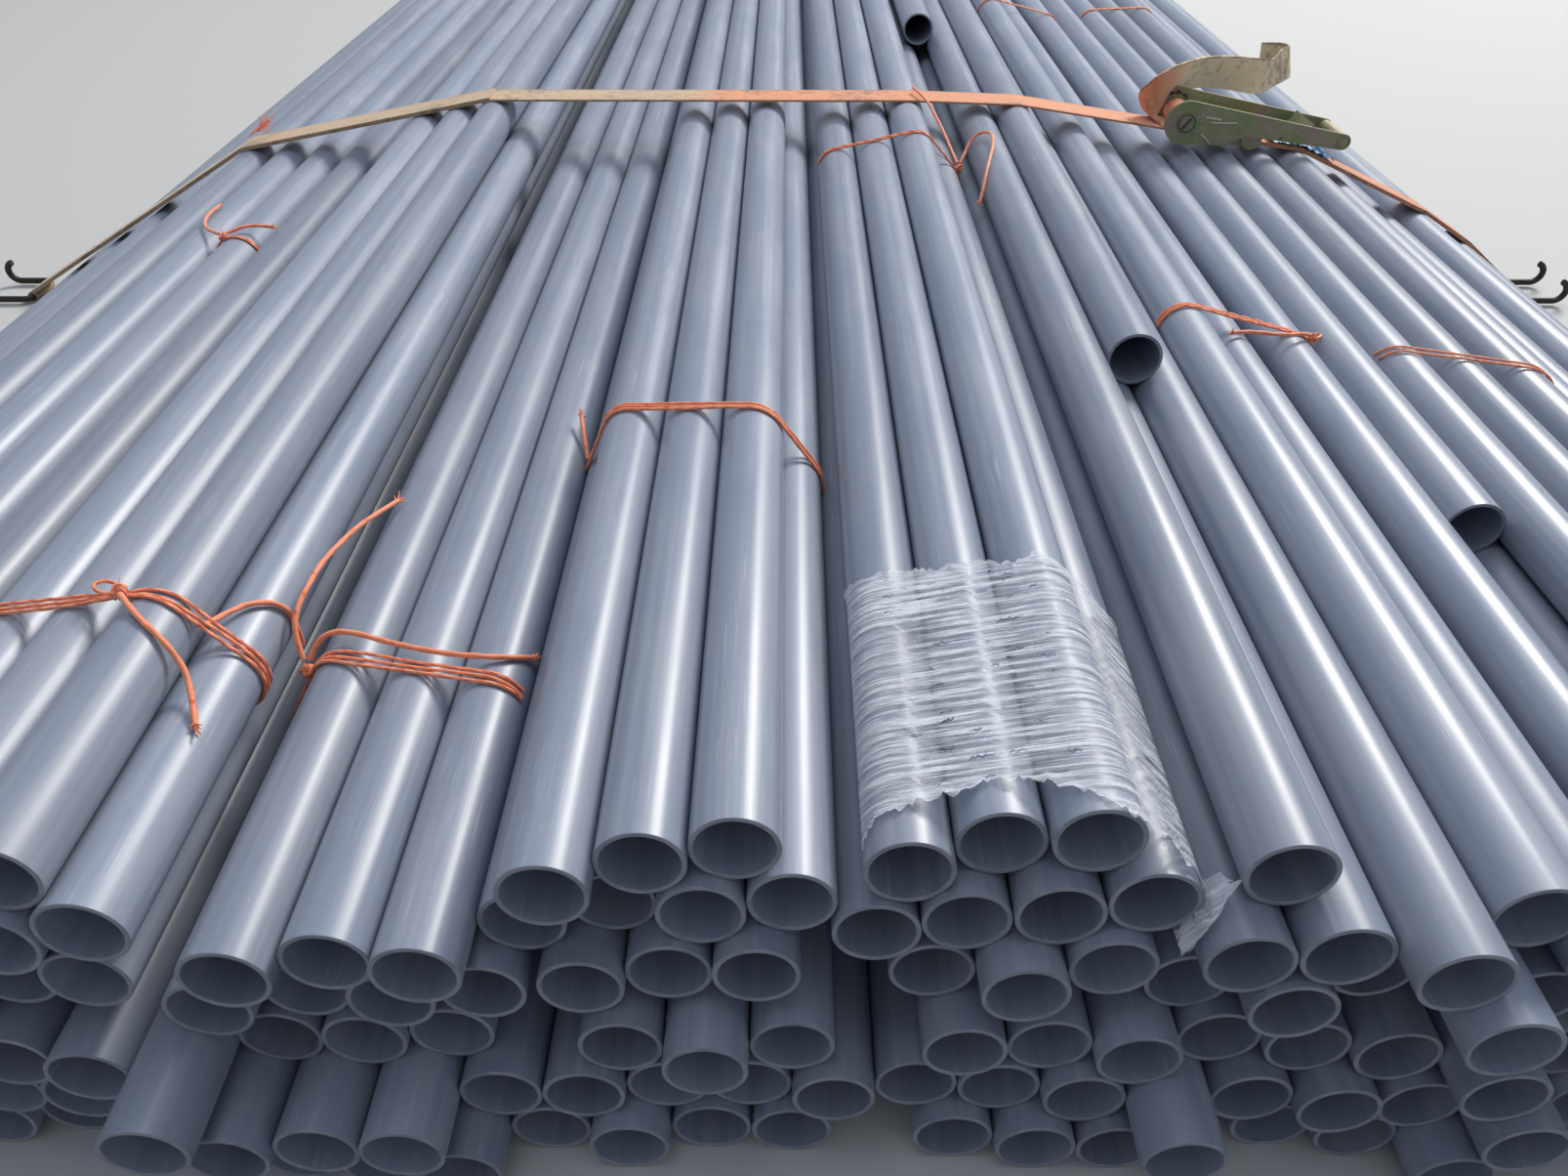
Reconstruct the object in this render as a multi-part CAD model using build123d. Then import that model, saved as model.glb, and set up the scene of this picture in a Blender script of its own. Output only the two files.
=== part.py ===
from build123d import *
from math import acos, atan2, cos, degrees, hypot, radians, sin, sqrt
import os

# A long pile of plastic pipes. Millimetres, +Z up, the pipes lie along Y with
# the faced ends at -Y. The origin is on the floor under the middle of the pile.

# Pipe stock
PIPE_OD = 50.0
PIPE_WALL = 3.0
PIPE_LENGTH = 5000.0
MIDDLE_LENGTH = 4000.0
SHORT_LENGTH = 3000.0
PIPE_GAP = 0.3

# Twine ties and stretch film
TWINE_THICK = 3.0
TWINE_TURNS = 3
TWINE_CLEAR = 0.25
KNOT_R = 6.0
TWINE_END_R = 2.0
FILM_THICK = 1.2
FILM_WIDTH = 192.0
FILM_BACK = 40.0

# Lashing strap
STRAP_WIDTH = 50.0
STRAP_THICK = 2.5
STRAP_CLEAR = 0.3
STRAP_BACK = 1275.0
STRAP_REACH_LEFT = 62.0
STRAP_REACH_RIGHT = 68.0
SEWN_OVER = 3
TAIL_THICK = 3.0
LABEL_LONG = 50.0
LABEL_THICK = 0.6
LABEL_AT = 112.0

# Ratchet buckle, measured from its spool axis
RATCHET_X = 585.0
PLATE = 3.0
FRAME_INSIDE = 56.0
FRAME_LONG = 98.0
FRAME_ROUND = 20.0
FRAME_TOP = 5.0
SPOOL_R = 10.0
SPOOL_SLOT = 5.0
WOUND_R = 16.0
WHEEL_R = 25.0
WHEEL_TEETH = 12
TOOTH_DEEP = 5.0
END_BOLT_R = 5.0
BOLT_HEAD_R = 14.0
BOLT_HEAD = 3.4
CAP_R = 13.0
CAP_THICK = 1.6
HANDLE_LONG = 222.0
HANDLE_ROUND = 29.0
GRIP_R = 10.5
GRIP_RISE = 8.0
PAWL_LONG = 22.0
PAWL_THICK = 3.0
HANDLE_PAWL_RISE = 12.0
FRAME_PAWL_DROP = 10.0
TAB_LONG = 48.0
TAB_WIDE = 28.0
RAIL_R = 12.0
FRAME_WEB_AT = 68.0
FRAME_WEB_LONG = 32.0
SLOT_TURN = 62.0
BRACE_AT = 168.0
BRACE_LONG = 34.0
BRACE_TURN = 62.0
RUN_GAP = 0.4
TAIL_RISE = -54.0
TAIL_ROUTE = [(-54, 0), (-66, -4), (-86, 24), (-66, 64), (30, 86), (150, 150), (318, 236), (286, 262)]
TAIL_BENDS = [6, 17, 19, 60, 90, 8]

# Hooks at the two ends of the strap
HOOK_ROD = 9.0
HOOK_LONG = 62.0
HOOK_BEND = 15.0
HOOK_CURL = 160.0

PIPE_R = PIPE_OD / 2
PITCH = PIPE_OD + PIPE_GAP
ROW_RISE = PITCH * sqrt(3) / 2
EYE_R = END_BOLT_R + STRAP_CLEAR + STRAP_THICK
LOOP_R = HOOK_ROD / 2 + STRAP_CLEAR + STRAP_THICK

# How far each pipe stands out of the front, by bundle, top row first, left to right
FRONT_LOWER = [
    [5, -8, 3, 12, 0, 7, -4, 10, 2, -6],
    [-3, 9, 4, 0, 14, -7, 6, 11, -2, 8],
    [4, 12, 21, 12, 6, 9, 15, 3, -5, 10],
    [65, 48, 42, 44, 7, 20, 25, 30, 35, 6],
    [2, 17, 1, 8, 1, 0, 10, 18, 5, 7],
    [5, 0, 10, 0, 2, 10, 48, 11, 18, 18],
    [1, 7, 32, 9, 17, 13, 40, 3, 10, 36],
    [12, 25, 4, -6, 9, 16, 8, -3, 11, 5],
    [6, 14, -5, 9, 3, 12, 0, 7, -8, 10],
]
FRONT_UPPER = [
    [4, 10, -3, 7, 0, -9, 5, 12, 2, -4],
    [0, 3, 0, 0, -4, 7, 5, 4, -6, 2],
    [15, 4, 12, 6, -7, 0, -6, -4, -2, -7],
    [-5, -21, -26, -22, -31, -18, -22, -7, -13, -7],
    [-22, -33, -26, -18, -18, -14, -15, -19, 4, -7],
    [-15, 7, 8, 29, -14, 11, -10, 43, -5],
    [-4, 6, 12, 5, 7, 3, 39, 10, -2],
    [-6, 8, 3, 11, 0, -5, 9, 4, 14, -2],
]
FRONT_SIDE = [2, -5, 9, 12, -7, 4, 15, 6, -3, 8]
# Ties on the upper bundles: how far back, slant in degrees, knot in pitches from the middle,
# and which pipes, counted from the top left, if it isn't round them all
TIES = {
    1: [(950.0, 0.0, -0.25, [2]), (3650.0, 4.0, None, None)],
    2: [(198.0, -4.6, 0.46, None), (3820.0, 3.0, None, None)],
    3: [(199.5, -10.8, -1.59, None), (3700.0, -6.0, None, None)],
    4: [(454.5, -11.3, None, None), (3900.0, 5.0, None, None)],
    5: [(1137.5, 0.0, 1.94, None)],
    7: [(699.5, 0.0, 1.0, None), (2100.0, 8.0, None, None)],
    8: [(645.5, -19.3, None, None), (2150.0, 10.0, None, None)],
}
# Loose ends of twine, from the knot on: points that each one lies along
TWINE_ENDS = {
    "twine_end_1a": [(-611.69, 958.8, 229), (-600, 970, 232), (-584, 981, 230), (-567, 979, 228.5)],
    "twine_end_1b": [(-621.71, 957.55, 228.02), (-637, 966, 228.5), (-650, 985, 229.5),
                     (-656, 1007, 229.5), (-657, 1030, 229.5), (-655, 1048, 229.5)],
    "twine_end_2a": [(-368.56, 195.89, 293.16), (-352, 177, 294), (-332, 164, 284),
                     (-321, 157, 268), (-314, 144, 258), (-306, 124, 250.5)],
    "twine_end_2b": [(-326, 200.2, 264.7), (-321, 221, 258.5), (-311, 237, 254), (-300, 246, 245.5),
                     (-294.5, 249, 233), (-293.5, 247, 214)],
    "twine_end_3a": [(-283.1, 222.34, 215.51), (-288.5, 231, 230), (-289, 245, 241), (-286, 266, 246),
                     (-285, 293, 246), (-279.5, 328, 242), (-274.7, 357, 237), (-261, 394, 230)],
    "twine_end_3b": [(-278.87, 222.55, 215.22), (-274, 229.5, 225.5), (-263, 234, 231),
                     (-246, 231, 232), (-224, 223, 231), (-201, 216.5, 230.5), (-178, 211, 230.5),
                     (-154, 209, 230), (-137, 214, 225), (-126.5, 226, 214)],
    "twine_end_4": [(-124, 484, 213), (-127.5, 496, 219), (-131, 510, 226), (-134, 525, 232)],
    "twine_end_5a": [(266.49, 1147.55, 249.63), (260, 1170, 260), (253.5, 1197, 272),
                     (244, 1234, 285), (233, 1268, 298), (221.5, 1309, 298.5)],
    "twine_end_5b": [(270.7, 1146.99, 249.94), (277.5, 1160, 257.5), (283, 1173, 266),
                     (292.5, 1180, 275), (304, 1174, 281.5), (309.5, 1156, 283), (307, 1122, 282),
                     (297, 1079, 279), (287, 1040, 270), (279, 1012, 247)],
    "twine_end_7": [(570.8, 700.09, 224.83), (563, 692.5, 230.5), (549, 687.5, 231.5),
                    (535, 688, 231), (518, 691, 232), (500, 687, 235), (485, 681, 237)],
}
SET_BACK = {"top_pipe_1": 580.0, "top_pipe_2": 400.0, "top_pipe_3": 1750.0}


def turned(x, z, tilt):
    """Turn a point of the section about the origin."""
    c, s = cos(radians(tilt)), sin(radians(tilt))
    return x * c - z * s, x * s + z * c


def ten(tilt=0.0):
    """Centres of a tied ten, three over four over three, about its own middle."""
    spots = []
    for count, row in ((3, 1), (4, 0), (3, -1)):
        for i in range(count):
            spots.append(turned((i - (count - 1) / 2) * PITCH, row * ROW_RISE, tilt))
    return spots


def floor_spot(row, place):
    """A place in the rows that lie straight on the floor."""
    return place * PITCH, PIPE_R + (row - 1) * ROW_RISE


def rest_height(spots, x, laid, base):
    """Lowest height from base up at which spots, moved to x, clear what is laid."""
    blocked = [(-1e9, PIPE_R - dz) for dx, dz in spots]
    for dx, dz in spots:
        for px, pz in laid:
            side = abs(x + dx - px)
            if side < PITCH:
                rise = sqrt(PITCH**2 - side**2)
                blocked.append((pz - rise - dz, pz + rise - dz))
    height = base
    moved = True
    while moved:
        moved = False
        for low, high in blocked:
            if low + 1e-9 < height < high - 1e-9:
                height = high
                moved = True
    return height


def lay_out():
    """Section of the pile: node name -> centres of its pipes."""
    pile = {}
    for k in range(7):
        mid = 4 * (k - 4)
        spots = [(mid * PITCH + dx, PIPE_R + ROW_RISE + dz) for dx, dz in ten()]
        if k == 3:
            spots = [floor_spot(3, mid - 2)] + spots[3:7]
            spots += [floor_spot(1, mid + i) for i in (-2, -1, 0, 1, 2)]
        pile[f"lower_bundle_{k + 1}"] = spots
    low = [floor_spot(2, 10.5 + i) for i in range(5)]
    pile["lower_bundle_8"] = low + [floor_spot(1, 10 + i) for i in range(5)]
    heap = [floor_spot(4, 16.5), floor_spot(3, 16), floor_spot(3, 17)]
    heap += [floor_spot(2, 15.5 + i) for i in range(3)]
    pile["lower_bundle_9"] = heap + [floor_spot(1, 15 + i) for i in range(4)]
    left = [floor_spot(2, -18.5)] + [floor_spot(1, -18 - i) for i in range(3)]
    pile["side_pipes_left"] = left
    right = [floor_spot(3, 18 + i) for i in range(2)] + [floor_spot(2, 18.5 + i) for i in range(3)]
    pile["side_pipes_right"] = right + [floor_spot(1, 19 + i) for i in range(3)]
    slack = [floor_spot(5, 11), floor_spot(4, 10.5), floor_spot(4, 11.5)]
    slack += [floor_spot(3, 10), floor_spot(3, 11), floor_spot(3, 12)]
    single = floor_spot(3, 6)

    laid = [spot for spots in pile.values() for spot in spots] + slack + [single]

    def settle(spots, x, base):
        z = rest_height(spots, x, laid, base)
        placed = [(x + dx, z + dz) for dx, dz in spots]
        laid.extend(placed)
        return placed

    upper = {}
    upper[3] = settle(ten(), -4 * PITCH, 150)
    upper[4] = settle(ten(7), -0.5 * PITCH, 170)
    upper[5] = settle(ten(12), 3.39 * PITCH, 180)
    leaning = [turned(a * PITCH, b * ROW_RISE, 10) for a, b in
               ((1, 2), (0.5, 1), (1.5, 1), (2.5, 1), (0, 0), (1, 0), (2, 0), (3, 0), (2, 2))]
    heaped = settle(leaning, 5.5 * PITCH, 150)
    upper[6] = heaped[:8] + [single]
    pile["top_pipe_1"] = heaped[8:]
    under = settle([(0, 0)], 9.35 * PITCH, 120)
    high = settle([(0, 0)], 8.8 * PITCH, 200)
    beside = settle([(0, 0)], 9.7 * PITCH, 170)
    upper[7] = high + beside + slack + under
    upper[8] = settle(ten(), 14 * PITCH, 120)
    pile["top_pipe_2"] = settle([(0, 0)], 12 * PITCH, 180)
    pile["top_pipe_3"] = settle([(0, 0)], 5.33 * PITCH, 200)
    upper[2] = settle(ten(11), -7.87 * PITCH, 180)
    upper[1] = [floor_spot(5, -14 + i) for i in range(4)] + [floor_spot(4, -14.5 + i) for i in range(5)]
    upper[1].append(floor_spot(3, -14))
    for k in range(1, 9):
        pile[f"upper_bundle_{k}"] = upper[k]
    return pile


def top_chain(centres):
    """The centres that a taut band over the pile turns round, left to right."""
    chain = []
    for p in sorted(centres):
        while len(chain) > 1:
            (ax, az), (bx, bz) = chain[-2:]
            if (bx - ax) * (p[1] - az) - (bz - az) * (p[0] - ax) < -1e-6:
                break
            chain.pop()
        chain.append(p)
    return chain


def lift_angles(chain):
    """Direction, in degrees, square to each straight of the band."""
    pairs = zip(chain, chain[1:])
    return [degrees(atan2(bz - az, bx - ax)) + 90 for (ax, az), (bx, bz) in pairs]


def spot_at(centre, radius, angle):
    return (centre[0] + radius * cos(radians(angle)), centre[1] + radius * sin(radians(angle)))


def track(chain, radius, start, end):
    """Edges of one face of the band, at radius from the centres of the chain."""
    turns = [start] + lift_angles(chain) + [end]
    edges = []
    for i, centre in enumerate(chain):
        if turns[i] - turns[i + 1] > 0.01:
            edges.append(CenterArc(centre, radius, turns[i], turns[i + 1] - turns[i]))
        if i < len(chain) - 1:
            here = spot_at(centre, radius, turns[i + 1])
            edges.append(Line(here, spot_at(chain[i + 1], radius, turns[i + 1])))
    return edges


def band(chain, inner, thick, start, end, back, width):
    """A band of even thickness over the chain, its near edge at Y = back."""
    low = track(chain, inner, start, end)
    high = track(chain, inner + thick, start, end)
    caps = [Line(low[0] @ 0, high[0] @ 0), Line(low[-1] @ 1, high[-1] @ 1)]
    face = make_face(Curve() + low + high + caps)
    return Pos(0, back, 0) * extrude(Plane.XZ * face, amount=-width)


def pinched(chain, reach, others):
    """Cut the chain where another pipe pinches the band on its way down to the right."""
    lifts = lift_angles(chain)

    def clear(point):
        return min(hypot(point[0] - x, point[1] - z) for x, z in others) > PIPE_R + 2 * PIPE_GAP

    top = max(range(len(chain)), key=lambda i: chain[i][1])
    angle = 90.0
    for i in range(top, len(chain)):
        stop = lifts[i] if i < len(lifts) else (lifts[-1] if lifts else 90) - 100
        while angle > stop and clear(spot_at(chain[i], reach, angle - 1)):
            angle -= 1
        if angle > stop or i == len(lifts):
            return chain[: i + 1], angle
        angle = stop
        start, finish = spot_at(chain[i], reach, stop), spot_at(chain[i + 1], reach, stop)
        steps = [n / 20 for n in range(1, 21)]
        line = [tuple(a + (b - a) * n for a, b in zip(start, finish)) for n in steps]
        if not all(clear(point) for point in line):
            return chain[: i + 1], angle


def saddle(pipes, thick, clear, back, width, pile, slant=0.0):
    """Band over the top and down both flanks of a bundle, to where it is pinched."""
    chain = top_chain(pipes)
    others = [spot for name, spots in pile.items() for spot in spots
              if spot not in pipes and SET_BACK.get(name, 0) < back + width]
    reach = PIPE_R + clear + thick
    chain, end = pinched(chain, reach, others)
    flipped, start = pinched([(-x, z) for x, z in reversed(chain)], reach, [(-x, z) for x, z in others])
    chain = [(-x, z) for x, z in reversed(flipped)]
    spare = abs(sin(radians(slant))) * len(pipes) * PITCH
    shell = band(chain, PIPE_R + clear, thick, 180 - start, end, back - spare, width + 2 * spare)
    if slant:
        level = Box(2 * len(pipes) * PITCH, width, 2 * len(pipes) * PITCH)
        shell &= Pos(middle_of(pipes), back + width / 2, 0) * Rot(0, 0, slant) * level
    return shell


def pipe(x, z, front, length):
    """One pipe, its faced end at Y = front."""
    ring = Plane.XZ * (Circle(PIPE_R) - Circle(PIPE_R - PIPE_WALL))
    return Pos(x, front, z) * extrude(ring, amount=-length)


def pipe_fronts(name, count):
    """Y of the faced end of each pipe of a node."""
    if name in SET_BACK:
        return [SET_BACK[name]]
    kind, _, number = name.rpartition("_")
    table = {"lower_bundle": FRONT_LOWER, "upper_bundle": FRONT_UPPER}
    outs = table[kind][int(number) - 1] if kind in table else FRONT_SIDE
    return [-out for out in outs[:count]]


def pipe_length(name):
    lengths = {"top_pipe_1": MIDDLE_LENGTH, "top_pipe_2": MIDDLE_LENGTH}
    lengths["top_pipe_3"] = SHORT_LENGTH
    return lengths.get(name, PIPE_LENGTH)


def middle_of(pipes):
    return sum(x for x, z in pipes) / len(pipes)


def knot(pipes, along, back, slant):
    """Knot of a tie, sitting on the band, along pitches from the bundle's middle."""
    x = middle_of(pipes) + along * PITCH
    spot = max(spot_on(top_chain(pipes), x, PIPE_R + TWINE_CLEAR + KNOT_R), key=lambda p: p[1])
    y = back + TWINE_TURNS * TWINE_THICK / 2 + along * PITCH * sin(radians(slant)) / cos(radians(slant))
    return Pos(spot[0], y, spot[1]) * Sphere(KNOT_R)


def spot_on(chain, x, radius):
    """Points above x on the line that runs at radius over the chain."""
    found = []
    for centre in chain:
        if abs(x - centre[0]) < radius:
            found.append((x, centre[1] + sqrt(radius**2 - (x - centre[0]) ** 2)))
    for (a, b), lift in zip(zip(chain, chain[1:]), lift_angles(chain)):
        (ax, az), (bx, bz) = spot_at(a, radius, lift), spot_at(b, radius, lift)
        if ax <= x <= bx:
            found.append((x, az + (bz - az) * (x - ax) / (bx - ax)))
    return found


def tie(pipes, back, slant, along, pile):
    """Twine round a bundle, its turns side by side, with the knot on top."""
    width = TWINE_TURNS * TWINE_THICK
    loop = saddle(pipes, TWINE_THICK, TWINE_CLEAR, back, width, pile, slant)
    if along is None:
        return loop
    return loop + knot(pipes, along, back, slant)


def twine_end(name, points):
    """Loose end of twine: straight runs joined by arcs as large as the runs allow."""
    spots = [Vector(*p) for p in points]
    runs = [b - a for a, b in zip(spots, spots[1:])]
    bends = []
    for before, after in zip(runs, runs[1:]):
        half = radians(before.get_angle(after)) / 2
        bends.append(0.45 * min(before.length, after.length) * cos(half) / sin(half))
    line = Wire(FilletPolyline(*spots, radius=bends).edges())
    print(name, "bends", [round(r) for r in bends], "long", round(line.length))
    return sweep(Plane(origin=line @ 0, z_dir=line % 0) * Circle(TWINE_END_R), path=line)


def lead_on(bar, pipes, side, thick):
    """Centre of a pipe-size turn that leads a strap over pipes on to the loop at a bar."""
    spare = PIPE_R + STRAP_CLEAR + thick - LOOP_R
    chain = top_chain(pipes + [(bar[0], bar[1] - spare)])
    near = chain[-2] if side > 0 else chain[1]
    dx, dz = bar[0] - near[0], bar[1] - near[1]
    lift = degrees(atan2(dz, dx)) + side * degrees(acos(spare / hypot(dx, dz)))
    return spot_at(bar, -spare, lift)


def rod(centre, radius, low, high):
    """Round bar along Y through a point of the section."""
    return Pos(centre[0], low, centre[1]) * extrude(Plane.XZ * Circle(radius), amount=low - high)


def eye(centre, bore, outer):
    """Webbing sewn round a bar."""
    ring = Plane.XZ * (Circle(outer) - Circle(bore))
    return Pos(centre[0], STRAP_BACK, centre[1]) * extrude(ring, amount=-STRAP_WIDTH)


def strap_hook(bar, side):
    """Double hook bent from one rod, its crossbar in the loop of the strap."""
    half = STRAP_WIDTH / 2 + HOOK_ROD
    mid = STRAP_BACK + STRAP_WIDTH / 2
    reach = HOOK_LONG - HOOK_BEND
    path = FilletPolyline((reach, -half), (0, -half), (0, half), (reach, half), radius=HOOK_ROD)
    curls = []
    for y in (-half, half):
        curls.append(CenterArc((reach, HOOK_BEND), HOOK_BEND, -90, HOOK_CURL))
        curls[-1] = Pos(0, y, 0) * (Plane.XZ * curls[-1])
    wire = Wire(list(path.edges()) + [e for c in curls for e in c.edges()])
    start = Plane(origin=wire @ 0, z_dir=wire % 0)
    hook = sweep(start * Circle(HOOK_ROD / 2), path=wire)
    if side < 0:
        hook = Rot(0, 0, 180) * hook
    return Pos(bar[0], mid, bar[1]) * hook


def across(sketch, low, high):
    """A section of the ratchet drawn out across the strap."""
    return Pos(0, low, 0) * extrude(Plane.XZ * sketch, amount=low - high)


def pair(sketch, inside, thick):
    """Two like plates with inside between them."""
    near = across(sketch, -inside / 2 - thick, -inside / 2)
    return [near, across(sketch, inside / 2, inside / 2 + thick)]


def toothed_wheel():
    """Outline of a ratchet wheel, its teeth leaning one way."""
    points = []
    for i in range(WHEEL_TEETH):
        turn = 360 * i / WHEEL_TEETH
        points.append(spot_at((0, 0), WHEEL_R, turn))
        points.append(spot_at((0, 0), WHEEL_R - TOOTH_DEEP, turn + 60 / WHEEL_TEETH))
    return Polygon(*points, align=None) - Circle(SPOOL_R + STRAP_CLEAR)


def ratchet_parts():
    """The pieces of the ratchet about its spool axis, +X along the strap to the right."""
    parts = {}
    frame_out = FRAME_INSIDE + 2 * PLATE
    wheel_in = frame_out + 2 * RUN_GAP
    handle_in = wheel_in + 2 * PLATE + 2 * RUN_GAP
    handle_out = handle_in + 2 * PLATE
    pin_out = handle_out + 2 * STRAP_CLEAR
    bolt = (FRAME_LONG, EYE_R - WOUND_R)

    pawl_nose = sqrt((WHEEL_R + RUN_GAP) ** 2 - HANDLE_PAWL_RISE**2) + RUN_GAP
    catch_nose = sqrt((WHEEL_R + RUN_GAP) ** 2 - FRAME_PAWL_DROP**2) + RUN_GAP
    pawl = Pos(pawl_nose + PAWL_LONG / 2, HANDLE_PAWL_RISE) * Rectangle(PAWL_LONG, PAWL_THICK)
    catch = Pos(catch_nose + PAWL_LONG / 2, -FRAME_PAWL_DROP) * Rectangle(PAWL_LONG, PAWL_THICK)

    rail = Polygon((0, -FRAME_ROUND), (bolt[0], bolt[1] - RAIL_R), (bolt[0], bolt[1] + RAIL_R),
                   (0, FRAME_TOP), align=None)
    plate = Circle(FRAME_ROUND) + rail + Pos(*bolt) * Circle(RAIL_R)
    plate -= Circle(SPOOL_R + STRAP_CLEAR)
    plate -= Pos(*bolt) * Circle(END_BOLT_R + STRAP_CLEAR)
    plate -= offset(catch, STRAP_CLEAR)
    sides = pair(plate, FRAME_INSIDE, PLATE)
    web = Pos(FRAME_WEB_AT, -FRAME_ROUND + PLATE / 2) * Rectangle(FRAME_WEB_LONG, PLATE)
    frame = sides[0] + sides[1] + across(web, -FRAME_INSIDE / 2, FRAME_INSIDE / 2)
    parts["ratchet_frame"] = frame

    parts["ratchet_wheels"] = Compound(children=pair(toothed_wheel(), wheel_in, PLATE))
    slot = Rot(0, 0, SLOT_TURN) * Rectangle(3 * SPOOL_R, SPOOL_SLOT)
    halves = across(Circle(SPOOL_R) - slot, -pin_out / 2, pin_out / 2)
    parts["ratchet_spool_pins"] = Compound(children=list(halves.solids()))
    parts["ratchet_spool_caps"] = Compound(children=pair(Circle(CAP_R), pin_out, CAP_THICK))

    shaft = across(Pos(*bolt) * Circle(END_BOLT_R), -frame_out / 2, frame_out / 2)
    for head in pair(Pos(*bolt) * Circle(BOLT_HEAD_R), frame_out, BOLT_HEAD):
        shaft += head
    parts["ratchet_end_bolt"] = shaft
    parts["ratchet_frame_pawl"] = across(catch, -wheel_in / 2 - PLATE, wheel_in / 2 + PLATE)

    grip = (HANDLE_LONG, GRIP_RISE)
    arm = Polygon((0, -HANDLE_ROUND), (62, -20), (86, -6), (120, -4), (grip[0], grip[1] - GRIP_R),
                  (grip[0], grip[1] + GRIP_R), (40, 27), (0, HANDLE_ROUND), align=None)
    lever = Circle(HANDLE_ROUND) + arm + Pos(*grip) * Circle(GRIP_R)
    lever -= Circle(SPOOL_R + RUN_GAP)
    lever -= offset(pawl, STRAP_CLEAR)
    sides = pair(lever, handle_in, PLATE)
    handle = sides[0] + sides[1]
    handle += across(Pos(*grip) * Circle(GRIP_R - 1), -handle_in / 2, handle_in / 2)
    brace = Pos(BRACE_AT, GRIP_RISE) * Rot(0, 0, BRACE_TURN) * Rectangle(BRACE_LONG, PLATE)
    handle += across(brace, -handle_in / 2, handle_in / 2)
    parts["ratchet_handle"] = handle

    slide = across(pawl, -pin_out / 2 - CAP_THICK, pin_out / 2 + CAP_THICK)
    tab = Pos(pawl_nose + PAWL_LONG + TAB_LONG / 2 - 1, HANDLE_PAWL_RISE)
    tab *= Rectangle(TAB_LONG, PAWL_THICK)
    slide += across(tab, -TAB_WIDE / 2, TAB_WIDE / 2)
    parts["ratchet_handle_pawl"] = slide
    return parts


def strap_tail():
    """Loose end of the strap: flat off the spool, then on edge round and back."""
    low = -WOUND_R + STRAP_THICK + STRAP_CLEAR
    lead = Pos((TAIL_RISE - WOUND_R) / 2 - 0.5, 0, low + STRAP_THICK / 2)
    lead *= Box(-TAIL_RISE - WOUND_R, STRAP_WIDTH - 2, STRAP_THICK)
    line = FilletPolyline(*TAIL_ROUTE, radius=TAIL_BENDS)
    side = offset(line, TAIL_THICK / 2, kind=Kind.ARC, closed=True)
    stand = Pos(0, 0, low) * extrude(make_face(side.edges()), amount=STRAP_WIDTH)
    return lead + stand


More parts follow.
